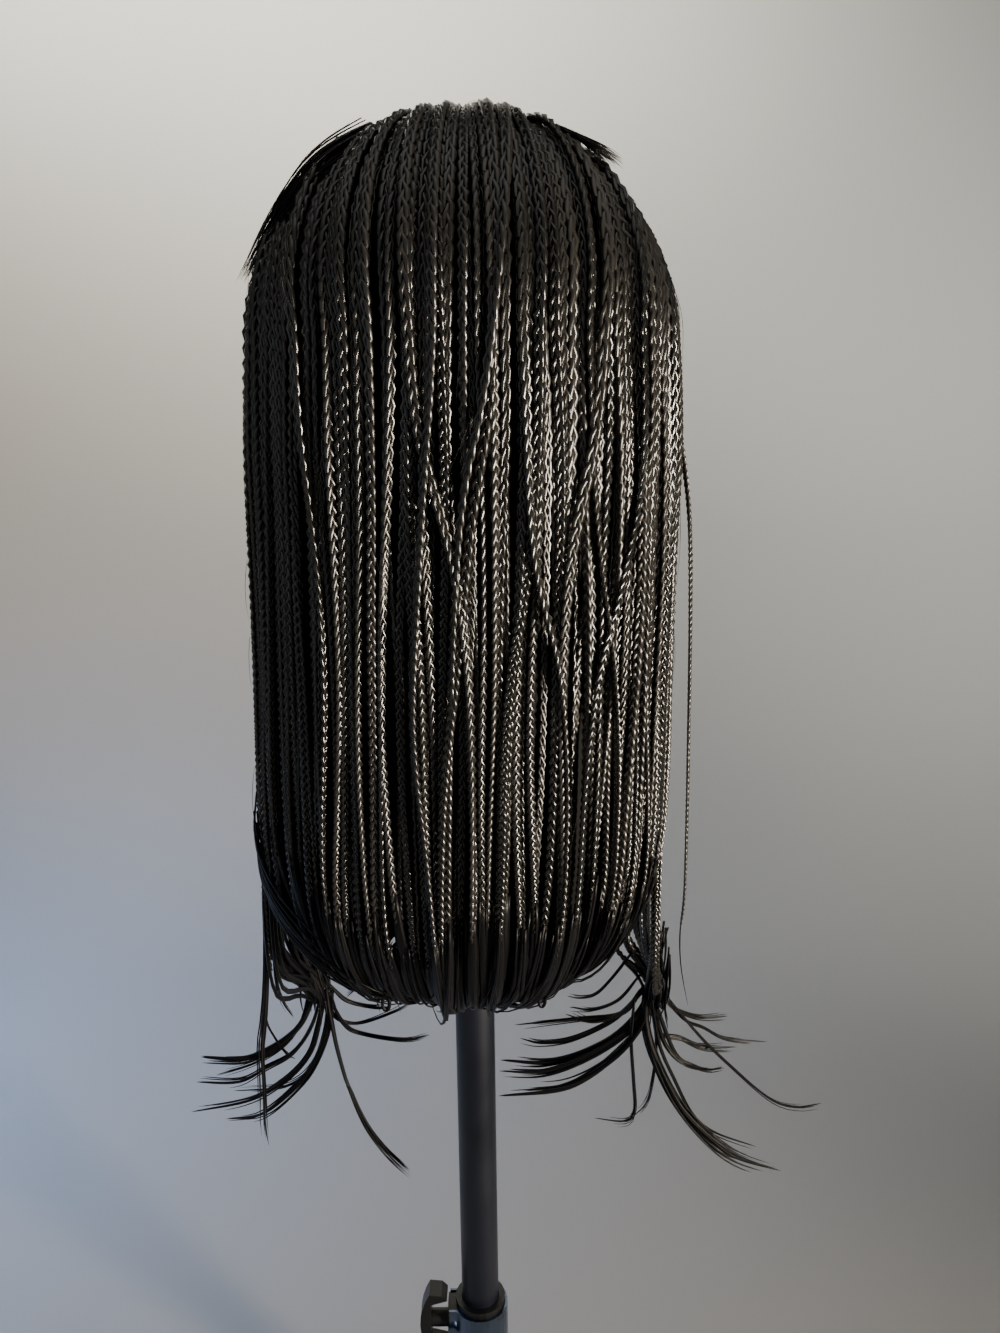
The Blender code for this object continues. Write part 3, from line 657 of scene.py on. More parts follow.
# The bent strand with a brush of hairs at its end, as places in the picture
LEFT_KINKED = (
    (324, 960), (328, 1000), (332, 1023), (337, 1048), (346, 1080), (351, 1091),
    (360, 1111), (371, 1130), (389, 1152), (409, 1170),
)
RIGHT_STRANDS = (
    (1.0, 46, ((640, 990), (623, 1012), (592, 1021), (565, 1014))),
    (0.8, 52, ((640, 975), (618, 1000), (592, 1009), (569, 1007))),
    (0.8, 40, ((634, 950), (612, 978), (596, 994), (580, 998), (567, 996))),
    (0.8, 48, ((644, 985), (623, 1012), (580, 1018), (514, 1025))),
    (1.1, 55, ((648, 985), (623, 1012), (601, 1027), (569, 1040), (540, 1043), (520, 1038))),
    (1.7, 50, ((652, 985), (636, 1016), (605, 1043), (554, 1062), (500, 1060))),
    (1.3, 44, ((655, 990), (640, 1020), (600, 1050), (547, 1071), (499, 1071))),
    (1.5, 38, ((656, 990), (643, 1022), (625, 1045), (592, 1074), (558, 1090), (498, 1096))),
    (1.2, 32, ((654, 990), (640, 1028), (612, 1060), (570, 1084), (525, 1090))),
    (0.9, 30, ((634, 1000), (631, 1038), (633, 1079), (634, 1110), (625, 1121), (594, 1118))),
    (0.7, 42, ((650, 1000), (656, 1040), (654, 1070), (647, 1101), (634, 1116))),
    (1.0, 62, ((655, 985), (670, 1005), (685, 1014), (703, 1018), (728, 1016))),
    (1.1, 58, ((650, 1000), (659, 1032), (681, 1038), (703, 1047), (737, 1047))),
    (0.9, 66, ((665, 1000), (685, 1020), (703, 1027), (726, 1038), (768, 1042))),
    (1.1, 50, ((654, 1000), (674, 1052), (692, 1065), (708, 1070), (723, 1067))),
    (0.8, 40, ((652, 1000), (663, 1040), (680, 1062), (700, 1069), (722, 1069))),
    (0.9, 80, ((670, 1000), (700, 1036), (730, 1065), (770, 1099), (797, 1107), (822, 1103))),
    (2.0, 34, ((646, 990), (645, 1021), (654, 1056), (681, 1108), (726, 1152), (781, 1171))),
    (1.1, 36, ((650, 990), (659, 1043), (674, 1079), (692, 1114), (714, 1132), (757, 1147))),
    (1.1, 30, ((648, 990), (647, 1024), (658, 1062), (684, 1110), (728, 1150), (770, 1168))),
)
STRANDS = {"left": LEFT_STRANDS, "right": RIGHT_STRANDS}
# The thin braid that hangs free at the right, as places in the picture
FREE_BRAID = (
    (676, 420), (686, 480), (690, 540), (690, 640), (688, 760), (686, 850), (684, 900), (680, 933),
    (681, 967), (688, 1007),
)
ROOT_BEHIND = 42 * MM
# A strand's hairs lie apart, so it is wider than the places in the picture say
STRAND_FULL = 1.6
GATHER_SEEN = {"left": (320, 1000), "right": (655, 1004)}


def strand_path(places, tip, root=ROOT_BEHIND, count=40):
    """The way of a loose strand through its places in the picture, its distance behind
    the pole growing evenly to that of its tip."""
    depths = np.linspace(root, tip, len(places))
    return through(seen_at(places, depths), count)


def add_strand(hair, path, half_width, tone, rng, hairs=6):
    """A loose strand: several tapered wisps side by side that part at the tip."""
    half_width = half_width * STRAND_FULL
    add_wisp(hair, path, half_width, half_width * 0.7, tone, 6, 30, 0.4)
    share = np.linspace(0, 1, len(path))[:, None]
    for _ in range(hairs):
        spread = rng.normal(0, 1, 3) * half_width
        own = path + spread * (0.3 + 0.7 * share ** 2)
        shorter = int(len(path) * rng.uniform(0.86, 1.0))
        add_wisp(hair, own[:shorter], half_width * 0.45, half_width * 0.36, tone, 4, 24, 0.4)


# Front hair. Height at which it leaves its way down for the gather, where it is on its
# way along at the lowest, and how many locks are wrapped round the gather.
FRONT_HIP = 0.412
FRONT_LOWEST = 1.76
GATHER_LOCKS = 26
# Points at the end of a front braid that are unbraided
FRONT_UNBRAIDED = {"left": 34, "right": 12}


def add_front_braid(hair, label, place, number, gather, rng):
    """One braid in front of an ear: it hangs from the crown's end, is drawn in to the
    gather along a smooth curve, and ends in two loose wisps."""
    sign = -1 if label == "left" else 1
    first = rng.uniform(0.15, 0.7) if number % 2 else 0.0
    upper = braid_way(sign * place, first, FRONT_LOWEST, rng.uniform(0.0, 3.5) * MM,
                      FRONT_BRAID_SEED + number)
    end = gather + rng.normal(0, 1, 3) * np.array([3.2, 4.0, 3.0]) * MM
    last = upper[-1]
    hip = np.array([last[0], last[1] * 0.9, FRONT_HIP + rng.normal(0, 7) * MM])
    waist = hip * 0.35 + end * 0.65 + np.array([sign * 1.5, 0.0, 3.0]) * MM
    path = np.vstack([upper[:-4], through([last, hip, waist, end], 50)[2:]])
    path = smooth(path, 10)
    turn = slow_twist(rng)
    tone = rng.uniform(0, 1)
    braided = len(path) - FRONT_UNBRAIDED[label]
    add_braid(hair, path[:braided], OUTER_WIDTH * rng.uniform(0.82, 1.0), LOBE_TOP,
              LOBE_LOW, tone, turn, (6, 4))
    for _ in range(2):
        low = path[braided - 12:] + rng.normal(0, 1.5, 3) * MM
        add_wisp(hair, low, 2.1 * MM, 1.1 * MM, rng.uniform(0, 1), 5, 16, 0.3)


def add_gather(hair, sign, gather, rng):
    """Short loose locks that come down to the gather and close round it."""
    for _ in range(GATHER_LOCKS):
        lift = rng.uniform(15, 60) * MM
        start = gather + np.array([sign * rng.uniform(-4, 8), rng.uniform(-9, 9), 0]) * MM
        start[2] += lift
        last = gather + rng.normal(0, 1, 3) * np.array([4.0, 4.0, 5.0]) * MM
        last[2] -= 6 * MM
        middle = (start + last) / 2 + rng.normal(0, 2, 3) * MM
        add_wisp(hair, through([start, middle, last], 16), 1.3 * MM, 0.9 * MM,
                 rng.uniform(0, 1), 5, 14)


def add_kinked_strand(hair, rng):
    """The bent strand at the left: wisps side by side whose lower half parts into a
    brush of hairs."""
    path = strand_path(LEFT_KINKED, 38 * MM, count=56)
    add_strand(hair, path, 1.2 * MM, 0.6, rng, 3)
    brush = path[26:]
    share = np.linspace(0, 1, len(brush))[:, None]
    for _ in range(12):
        spread = rng.normal(0, 1, 3) * MM * (0.5 + 1.3 * share)
        add_wisp(hair, brush + spread, 0.55 * MM, 0.4 * MM, 0.5, 4, 20)


def add_free_braid(hair, rng):
    """The thin braid that hangs free at the right, with its unbraided end."""
    path = strand_path(FREE_BRAID, 34 * MM, 16 * MM, 90)
    twist = (np.linspace(0, 1, 5), rng.normal(0, 0.6, 5))
    add_braid(hair, path[:68], 3.3 * MM, 3.6 * MM, 3.3 * MM, 0.8, twist, (6, 4))
    add_wisp(hair, path[64:], 0.7 * MM, 0.5 * MM, 0.8, 5, 20)


def add_front(hair, label, count):
    """The hair in front of one ear: its braids, the loose strands that part below the
    gather, and the locks that close round it."""
    sign = -1 if label == "left" else 1
    rng = np.random.default_rng(FRONT_SEED + sign)
    gather = seen_at([GATHER_SEEN[label]], ROOT_BEHIND)[0]
    for number, place in enumerate(np.linspace(0.62, 1.0, count)):
        add_front_braid(hair, label, place, number, gather, rng)
    for half_width, tip, places in STRANDS[label]:
        path = strand_path(places, tip * MM)
        add_strand(hair, path, half_width * MM, rng.uniform(0, 1), rng)
    add_gather(hair, sign, gather, rng)
    if label == "left":
        add_kinked_strand(hair, rng)
    else:
        add_free_braid(hair, rng)


# Short hair at the temples. Columns: half width of a wisp in mm, how far its root and
# tip may part from its neighbours' in picture units, places in the picture and the
# distance behind the pole in mm.
TEMPLE_HAIR = {
    "left": (0.75, (20, 8), ((386, 130, -14), (352, 145, -34), (322, 164, -44),
                             (296, 192, -44), (270, 230, -34), (249, 268, -10),
                             (240, 286, -2))),
    "right": (0.50, (14, 13), ((552, 124, -16), (572, 133, -30), (590, 143, -34),
                               (606, 154, -32), (622, 168, -24))),
}


def add_temple(hair, label, count):
    """Short loose hair that starts at the hairline, passes over the braids' edge and
    lies back along the crown, its tips standing out."""
    half_width, spread, row = TEMPLE_HAIR[label]
    rng = np.random.default_rng(TEMPLE_SEED)
    row = np.array(row, float)
    share = np.linspace(0, 1, len(row))
    for _ in range(count):
        root, tip = rng.normal(0, 0.5, 2) * spread
        height = rng.normal(0, 0.35) * spread[1]
        places = row[:, :2] + np.stack([root * (1 - share) + tip * share,
                                        0.5 * root * (1 - share) + height * share], -1)
        depths = (row[:, 2] + rng.normal(0, 5)) * MM
        path = through(seen_at(places, depths), 26)
        path = path[:int(26 * rng.uniform(0.7, 1.0))]
        add_wisp(hair, path, half_width * rng.uniform(0.6, 1.3) * MM,
                 half_width * 0.6 * MM, rng.uniform(0, 1), 4, 16)


def add_sweep(hair, count):
    """Long loose locks that cross the lower left of the curtain from its edge towards
    the middle, over the ends of the braids."""
    rng = np.random.default_rng(SWEEP_SEED)
    share = np.linspace(0, 1, 24)
    for _ in range(count):
        start = rng.uniform(-0.92, -0.55)
        side = start + rng.uniform(0.22, 0.46) * ease(share)
        along = rng.uniform(1.72, 1.82) + rng.uniform(0.18, 0.26) * share
        lift = -(0.3 + 1.6 * np.sin(np.pi * share)) * MM
        add_wisp(hair, lay_path(side, along, lift), rng.uniform(0.5, 1.4) * MM, 0.7 * MM,
                 rng.uniform(0, 1), 5, 20, 0.35)


# Small loops of loose hair that hang below the curtain, as places in the picture
LOOPS = ((386, 1003), (542, 1000))
LOOPS_BEHIND = -78 * MM


def add_loops(hair):
    """Each loop hangs from the curtain, goes round a narrow ellipse and up again."""
    rng = np.random.default_rng(LOOP_SEED)
    for across, down in LOOPS:
        size = rng.uniform(6.0, 8.0)
        turn = np.radians(np.array((0, 60, 120, 180, 240, 300)))
        ring = [(across + size * 0.45 * math.sin(angle), down - size * math.cos(angle))
                for angle in turn + rng.uniform(-0.3, 0.3)]
        places = [(across - 4, down - 46), (across - 1, down - 22), *ring,
                  (across + 1, down - 18)]
        path = through(seen_at(places, np.full(len(places), LOOPS_BEHIND)), 40)
        add_wisp(hair, path, 1.2 * MM, 1.0 * MM, rng.uniform(0, 1), 6, 40, 0.2)


def add_flyaways(hair, count):
    """Single hairs that lie over the braids and stand a little away from them."""
    rng = np.random.default_rng(STRAY_SEED)
    for _ in range(count):
        side = rng.uniform(-0.95, 0.95)
        first = rng.uniform(0.3, 1.7)
        along = np.linspace(first, min(first + rng.uniform(0.06, 0.25), 1.9), 12)
        slant = rng.normal(0, 0.05)
        lift = -rng.uniform(0.8, 2.6) * MM * np.sin(np.linspace(0.2, 3.0, 12))
        path = lay_path(side + slant * np.linspace(0, 1, 12), along, lift)
        add_wisp(hair, path, 0.16 * MM, 0.16 * MM, 0.9, 3, 12)


def linear(hex_colour):
    """An sRGB hex colour as linear RGBA."""
    channels = [int(hex_colour[place:place + 2], 16) / 255 for place in (1, 3, 5)]
    return (*(value / 12.92 if value <= 0.04045 else ((value + 0.055) / 1.055) ** 2.4
              for value in channels), 1.0)


def new_material(name):
    """A material with its nodes and its shader."""
    material = bpy.data.materials.new(name)
    material.use_nodes = True
    shader = material.node_tree.nodes["Principled BSDF"]
    return material, material.node_tree, shader


def add_node(tree, kind, settings=None, links=None, stops=None):
    """A node with its settings and the sockets that feed it. A setting that isn't a
    property of the node is the value of its input of that name or number. Stops are the
    two places and colours of a colour ramp."""
    node = tree.nodes.new(kind)
    for key, value in (settings or {}).items():
        if isinstance(key, str) and hasattr(node, key):
            setattr(node, key, value)
        else:
            node.inputs[key].default_value = value
    for key, source in (links or {}).items():
        tree.links.new(source, node.inputs[key])
    if stops:
        for element, (place, colour) in zip(node.color_ramp.elements, stops):
            element.position = place
            element.color = colour
    return node


def feed_shader(tree, shader, links, values):
    """Links what varies over the surface to the shader, and sets what doesn't."""
    for key, source in links.items():
        tree.links.new(source, shader.inputs[key])
    for key, value in values.items():
        shader.inputs[key].default_value = value


def grey(value):
    """A plain number as the colour that a ramp needs."""
    return (value, value, value, 1.0)


RAMP = "ShaderNodeValToRGB"
NET_CELL = 1.4 * MM


def hair_material(name, dark, light, roughness, fibre_height, specular):
    """Straight glossy synthetic hair: fine parallel fibres that break the highlight into
    streaks along the lock, some fibres lighter, each lock a little different."""
    material, tree, shader = new_material(name)
    fibre = add_node(tree, "ShaderNodeAttribute", {"attribute_name": "fibre"})
    stretched = add_node(tree, "ShaderNodeMapping", {"Scale": (3.6, 0.10, 1.0)},
                         {"Vector": fibre.outputs["Vector"]})
    strands = add_node(tree, "ShaderNodeTexNoise", {"Scale": 1.0, "Detail": 3.0,
                                                    "Roughness": 0.6},
                       {"Vector": stretched.outputs["Vector"]})
    wide = add_node(tree, "ShaderNodeMapping", {"Scale": (1.6, 0.05, 1.0)},
                    {"Vector": fibre.outputs["Vector"]})
    bundles = add_node(tree, "ShaderNodeTexNoise", {"Scale": 1.0, "Detail": 1.0},
                       {"Vector": wide.outputs["Vector"]})
    tone = add_node(tree, "ShaderNodeAttribute", {"attribute_name": "tone"})
    mixed = add_node(tree, "ShaderNodeMath", {"operation": "MULTIPLY_ADD", 1: 0.55},
                     {0: strands.outputs["Fac"], 2: tone.outputs["Fac"]})
    shade = add_node(tree, "ShaderNodeMath", {"operation": "MULTIPLY", 1: 0.66},
                     {0: mixed.outputs[0]})
    colour = add_node(tree, RAMP, links={"Fac": shade.outputs[0]},
                      stops=((0.15, linear(dark)), (0.85, linear(light))))
    uneven = add_node(tree, "ShaderNodeMath", {"operation": "MULTIPLY_ADD", 1: 0.6},
                      {0: tone.outputs["Fac"], 2: bundles.outputs["Fac"]})
    gloss = add_node(tree, RAMP, links={"Fac": uneven.outputs[0]},
                     stops=((0.30, grey(roughness - 0.04)), (1.00, grey(roughness + 0.09))))
    bump = add_node(tree, "ShaderNodeBump", {"Strength": 1.0, "Distance": fibre_height},
                    {"Height": strands.outputs["Fac"]})
    feed_shader(tree, shader, {"Base Color": colour.outputs["Color"],
                               "Roughness": gloss.outputs["Color"],
                               "Normal": bump.outputs["Normal"]},
                {"Specular IOR Level": specular})
    return material


def surface_material(name, dark, light, roughness, grain, height, metallic=0.0):
    """A hard surface with a fine grain: its colour and gloss vary a little from place to
    place, and a low bump of the grain's size takes the edge off its highlight."""
    material, tree, shader = new_material(name)
    place = add_node(tree, "ShaderNodeTexCoord")
    grains = add_node(tree, "ShaderNodeTexNoise", {"Scale": 1.0 / grain, "Detail": 3.0},
                      {"Vector": place.outputs["Object"]})
    patches = add_node(tree, "ShaderNodeTexNoise", {"Scale": 22.0, "Detail": 2.0},
                       {"Vector": place.outputs["Object"]})
    colour = add_node(tree, RAMP, links={"Fac": patches.outputs["Fac"]},
                      stops=((0.3, linear(dark)), (0.7, linear(light))))
    gloss = add_node(tree, RAMP, links={"Fac": patches.outputs["Fac"]},
                     stops=((0.3, grey(roughness - 0.05)), (0.7, grey(roughness + 0.08))))
    bump = add_node(tree, "ShaderNodeBump", {"Strength": 1.0, "Distance": height},
                    {"Height": grains.outputs["Fac"]})
    feed_shader(tree, shader, {"Base Color": colour.outputs["Color"],
                               "Roughness": gloss.outputs["Color"],
                               "Normal": bump.outputs["Normal"]}, {"Metallic": metallic})
    return material


def net_material(name, dark, light):
    """Fine knitted net: a regular mesh, its threads raised and a little lighter than the
    holes between them."""
    material, tree, shader = new_material(name)
    place = add_node(tree, "ShaderNodeTexCoord")
    cells = add_node(tree, "ShaderNodeTexVoronoi", {"Scale": 1.0 / NET_CELL,
                                                    "Randomness": 0.25},
                     {"Vector": place.outputs["Object"]})
    colour = add_node(tree, RAMP, links={"Fac": cells.outputs["Distance"]},
                      stops=((0.35, linear(dark)), (0.55, linear(light))))
    bump = add_node(tree, "ShaderNodeBump", {"Strength": 1.0, "Distance": 0.3 * MM},
                    {"Height": cells.outputs["Distance"]})
    feed_shader(tree, shader, {"Base Color": colour.outputs["Color"],
                               "Normal": bump.outputs["Normal"]}, {"Roughness": 0.8})
    return material


def wall_material(name, dark, light):
    """Matt painted wall and floor: wide soft patches hardly darker than the rest."""
    material, tree, shader = new_material(name)
    place = add_node(tree, "ShaderNodeTexCoord")
    patches = add_node(tree, "ShaderNodeTexNoise", {"Scale": 1.3, "Detail": 1.0},
                       {"Vector": place.outputs["Object"]})
    colour = add_node(tree, RAMP, links={"Fac": patches.outputs["Fac"]},
                      stops=((0.3, linear(dark)), (0.7, linear(light))))
    feed_shader(tree, shader, {"Base Color": colour.outputs["Color"]}, {"Roughness": 0.9})
    return material


# What each material is and how it is made. Hair: darkest and lightest fibre, roughness,
# height of a fibre, specular level. Hard surfaces: darkest and lightest patch, roughness,
# size and height of the grain, and metallic for bare metal.
FINISHES = {
    # Smooth fibre, drawn and plaited tight: narrow cream streaks on each lobe
    "braided synthetic hair": (hair_material, "#090908", "#201e1b", 0.23, 0.02 * MM, 0.9),
    # The same fibre unplaited, painted darker than the braids: its deep black is painted shade
    "loose synthetic hair in painted shade": (hair_material, "#030304", "#0b0b0e", 0.36, 0.03 * MM, 0.22),
    # Hair behind the braids, which hardly any light reaches
    "hair in the shade": (hair_material, "#020202", "#060606", 0.75, 0.08 * MM, 0.15),
    # Stretch net of thin matt thread
    "knitted net": (net_material, "#050505", "#1d1b1a"),
    # Sprayed and baked paint: even satin black with slight orange peel; its blue cast is a painted
    # reflection of bluish light
    "satin black paint on steel": (surface_material, "#060912", "#0c1120", 0.40, 0.6 * MM,
                                   0.01 * MM),
    # Plastic from a textured mould: dull soft highlight
    "moulded black plastic": (surface_material, "#08090a", "#0f1012", 0.40, 0.35 * MM,
                              0.02 * MM),
    # Bent sheet steel, plated blue-grey: mirrors light in broad patches
    "zinc plated steel": (surface_material, "#465163", "#717f96", 0.26, 0.5 * MM,
                          0.02 * MM, 1.0),
    # Emulsion rolled on a smooth wall
    "pale painted wall": (wall_material, "#b4b2ad", "#bcbab5"),
}


def finish_of(name):
    """A material from the table, made when it is first asked for."""
    make, *values = FINISHES[name]
    return bpy.data.materials.get(name) or make(name, *values)


def finish_piece(piece, *nodes):
    """Sets the body that a piece rides on and the CAD nodes that it replaces."""
    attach(piece, BODY)
    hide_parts(*nodes)
    return piece


def shaped_piece(name, shape, finish, slot, *nodes):
    """A piece from points and faces, with its finish and the nodes it replaces. Its slot is not
    used.
    """
    points, groups = shape
    mesh = mesh_from(name, points, groups)
    return finish_piece(add_piece(name, mesh, finish_of(finish)), *nodes)


# Cap. Columns: angle from the middle of the face, elevation of the rim.
CAP_RIM = np.array((
    (0.0, 31.0), (25.0, 24.0), (50.0, 3.0), (80.0, -14.0), (120.0, -22.0), (180.0, -42.0),
))
CAP_WALL = 1.6 * MM


def net_cap():
    """Closed thin dome: rows of an ellipsoid from the rim to its top, with a raised band
    of elastic along the rim, its inner side offset by the wall."""
    angle = np.linspace(0, 360, 97)
    rim = np.interp(np.minimum(angle, 360 - angle), *CAP_RIM.T)
    share = np.concatenate([np.linspace(0, 0.08, 6), np.linspace(0.1, 1, 22)])[:, None]
    rows = direction(np.repeat(angle[None, :], len(share), 0),
                     rim[None, :] + (89.9 - rim[None, :]) * share)
    band = 0.7 * MM * (1 - ease((share - 0.05) / 0.03))
    middle = np.array([0.0, 0.0, WIDEST_HEIGHT])
    out = reach(rows, CAP_HALF_WIDTH, CAP_HALF_DEPTH, CAP_RISE)
    outer = rows * (out - 0.7 * MM + band)[..., None] + middle
    inner = rows * (out - CAP_WALL - 0.7 * MM)[..., None] + middle
    return closed_wall(outer[:, ::-1], inner[:, ::-1])


def ring_profile(name, inside, edge):
    """The rounded section of a tube that fills a node's box, with its inner radius."""
    low, high = node_corners(name)
    radius = (high[1] - low[1]) / 2
    corners = ((radius, low[2]), (radius, high[2]), (inside, high[2]), (inside, low[2]))
    return rounded_profile(corners, edge, 5)


STAND_SEGMENTS = 96
TUBE_WALL = 1.2 * MM
GAP = 0.3 * MM
HUB_WALL = 4.0 * MM
HUB_FLANGE = 4.0 * MM


def disc_profile(name, edge, steps):
    """The rounded section of a solid disc or rod that fills a node's box."""
    low, high = node_corners(name)
    radius = high[0]
    corners = ((0.0, low[2]), (radius, low[2]), (radius, high[2]), (0.0, high[2]))
    return rounded_profile(corners, edge, steps)


def hub_profile(bore):
    """The rounded section of the hub: a collar on a low flange, round its bore."""
    low, high = node_corners("base_hub")
    neck = bore + HUB_WALL
    flange = low[2] + HUB_FLANGE
    corners = ((high[0], low[2]), (high[0], flange), (neck, flange), (neck, high[2]),
               (bore, high[2]), (bore, low[2]))
    return rounded_profile(corners, 1.2 * MM, 6)


def add_stand():
    """Pole, lower tube, hub and base plate, each a section turned about one axis."""
    paint = ("satin black paint on steel", "painted_steel")
    plastic = ("moulded black plastic", "moulded_plastic")
    pole = node_corners("stand_pole")[1][0]
    bore = pole + GAP + TUBE_WALL + GAP
    rows = (
        ("pole", disc_profile("stand_pole", 0.9 * MM, 5), 1, paint, "stand_pole"),
        ("tube", ring_profile("lower_tube", pole + GAP, 0.4 * MM), 1, paint, "lower_tube"),
        ("plate", disc_profile("base_plate", 2.2 * MM, 6), 2, paint, "base_plate"),
        ("hub", hub_profile(bore), 1, plastic, "base_hub"),
    )
    for name, profile, fineness, finish, node in rows:
        shaped_piece(name, turned_shape(profile, fineness * STAND_SEGMENTS), *finish, node)


def reslot(node, material):
    """Gives a node of the frame that stays a better material in all its slots."""
    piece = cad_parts[node]
    for slot in piece.material_slots:
        slot.material = material


class HangingHairSettings(bpy.types.PropertyGroup):
    outer_upper: IntProperty(name="From the hairline", default=OUTER_FROM_HAIRLINE, min=2,
                             description="Braids that start at the hairline")
    outer_extra: IntProperty(name="Extra braids", default=OUTER_EXTRA, min=1,
                             description="Braids at chance places between the others")
    under: IntProperty(name="Underneath", default=UNDER_COUNT, min=2,
                       description="Braids that hang behind the others")
    sweep: IntProperty(name="Sweeping locks", default=22, min=1,
                       description="Loose locks that cross the lower left")
    flyaways: IntProperty(name="Stray hairs", default=70, min=1,
                          description="Single hairs that stand away from the braids")


class FrontHairSettings(bpy.types.PropertyGroup):
    front: IntProperty(name="Front braids", default=20, min=2,
                       description="Braids in front of each ear, drawn to the gather")
    temple: IntProperty(name="Temple hairs", default=90, min=2,
                        description="Short wisps at each temple")


class StageSettings(bpy.types.PropertyGroup):
    key_power: FloatProperty(name="Key light", default=7.3, min=0.0, unit="POWER",
                             description="Power of the light from the right")
    key_colour: FloatVectorProperty(name="Key colour", default=(1.0, 0.87, 0.70), size=3,
                                    subtype="COLOR", description="Colour of that light")


class HAIR_OT_hanging(bpy.types.Operator):
    """Braids over the crown and down the back, one piece for each panel, with their
    loose ends"""
    bl_idname = "braid_wig.hanging"
    bl_label = "Build hanging braids"

    def execute(self, context):
        settings = context.scene.hanging_hair
        rows = braid_list(settings)
        pieces = {name: Hair() for name in PANEL_NODES}
        last = len(PANEL_NODES) - 1
        width = 2 * PANEL_HALF_ANGLE / len(PANEL_NODES)
        for seed, row in enumerate(rows):
            angle = np.mean(row[0]) * CURTAIN_HALF_ANGLE
            if abs(angle) <= PANEL_HALF_ANGLE + 3:
                number = int(np.clip((angle + PANEL_HALF_ANGLE) // width, 0, last))
                add_hanging(pieces[PANEL_NODES[number]], row, seed)
        add_flyaways(pieces[PANEL_NODES[4]], settings.flyaways)
        add_sweep(pieces[PANEL_NODES[1]], settings.sweep)
        add_loops(pieces[PANEL_NODES[3]])
        for name, hair in pieces.items():
            piece = hair.make(name.replace("panel", "sector"), "braided_hair")
            finish_piece(piece, name)
        shaped_piece("inner_hair", inner_layer(), "hair in the shade", "braided_hair",
                     "crown_braids")
        return {"FINISHED"}


class HAIR_OT_front(bpy.types.Operator):
    """Braids and loose strands in front of the ears, and the short hair at the temples"""
    bl_idname = "braid_wig.front"
    bl_label = "Build front hair"

    def execute(self, context):
        settings = context.scene.front_hair
        for label in ("left", "right"):
            hair = Hair()
            add_front(hair, label, settings.front)
            piece = hair.make(f"front_hair_{label}", "braided_hair")
            finish_piece(piece, f"front_locks_{label}")
            hair = Hair()
            add_temple(hair, label, settings.temple)
            piece = hair.make(f"temple_hair_{label}", "loose_hair")
            finish_piece(piece, f"temple_tuft_{label}")
        return {"FINISHED"}


class HAIR_OT_cap(bpy.types.Operator):
    """Thin net cap under the braids, with its elastic rim"""
    bl_idname = "braid_wig.cap"
    bl_label = "Build cap"

    def execute(self, context):
        shaped_piece("net_cap", net_cap(), "knitted net", "lace_cap", "wig_cap")
        return {"FINISHED"}


class HAIR_OT_stand(bpy.types.Operator):
    """Pole stand: rounded turned pieces, and finishes for the clamp"""
    bl_idname = "braid_wig.stand"
    bl_label = "Build stand"

    def execute(self, context):
        add_stand()
        for node in ("clamp_collar", "clamp_knob"):
            reslot(node, finish_of("moulded black plastic"))
        for node in ("clamp_band", "clamp_bolt"):
            reslot(node, finish_of("zinc plated steel"))
        return {"FINISHED"}


def sweep_sheet(points, radius, steps):
    """A sheet that runs along the floor and up a wall: a bent line with its corner
    rounded, carried sideways."""
    line = rounded_line(points, radius, steps)
    across = np.linspace(-6, 6, 13)
    grid = np.stack([across[None, :] + 0 * line[:, :1], line[:, :1] + 0 * across,
                     line[:, 1:] + 0 * across], -1)
    rows, columns = grid.shape[:2]
    return grid.reshape(-1, 3), [quads_of(np.arange(rows * columns).reshape(rows, columns))]


def rounded_line(points, radius, steps):
    """Two straight lines whose corner is a quadratic curve."""
    first, corner, last = (np.array(point, float) for point in points)
    start = corner + (first - corner) / np.linalg.norm(first - corner) * radius
    end = corner + (last - corner) / np.linalg.norm(last - corner) * radius
    share = np.linspace(0, 1, steps)[:, None]
    curve = start * (1 - share) ** 2 + corner * 2 * share * (1 - share) + end * share ** 2
    return np.vstack([first, curve, last])


# Soft lights. Columns: place, target, size, power in watts, colour, spread in degrees.
# The key comes from the right, narrow, so that it grazes the braids and leaves the wall
# alone. The others lift the left side, the top, the wall, its right half and the floor.
KEY_LIGHT = ((1.25, -1.02, 0.54), (0.0, 0.0, 0.54), (0.26, 0.5))
KEY_SPREAD = 55.0
LIGHTS = {
    "fill light": ((-1.8, -1.1, 0.9), (0.0, 0.0, 0.60), (1.4, 1.6), 2.0, (0.80, 0.88, 1.0),
                   180.0),
    "top light": ((0.1, -0.2, 2.2), (0.0, 0.1, 0.5), (1.6, 1.2), 2.2, (1.0, 0.98, 0.93),
                  180.0),
    "wall light": ((-0.50, 0.35, 1.75), (-0.30, 1.25, 1.45), (1.4, 0.4), 14.0,
                   (1.0, 0.98, 0.89), 85.0),
    "side light": ((1.1, 0.35, 0.9), (0.75, 1.25, 0.60), (0.8, 0.8), 4.0, (1.0, 1.0, 0.98),
                   110.0),
    "low light": ((-1.1, 0.30, 0.9), (-0.72, 0.50, 0.0), (0.8, 0.8), 4.2,
                  (0.24, 0.47, 1.0), 90.0),
}
WORLD_COLOUR = "#bcbbb8"
WORLD_STRENGTH = 0.28
# The backdrop's section: end of the floor, corner and top of the wall, behind and up
BACKDROP = ((-2.2, 0.0), (1.25, 0.0), (1.25, 3.2))
BACKDROP_ROUND = 0.55


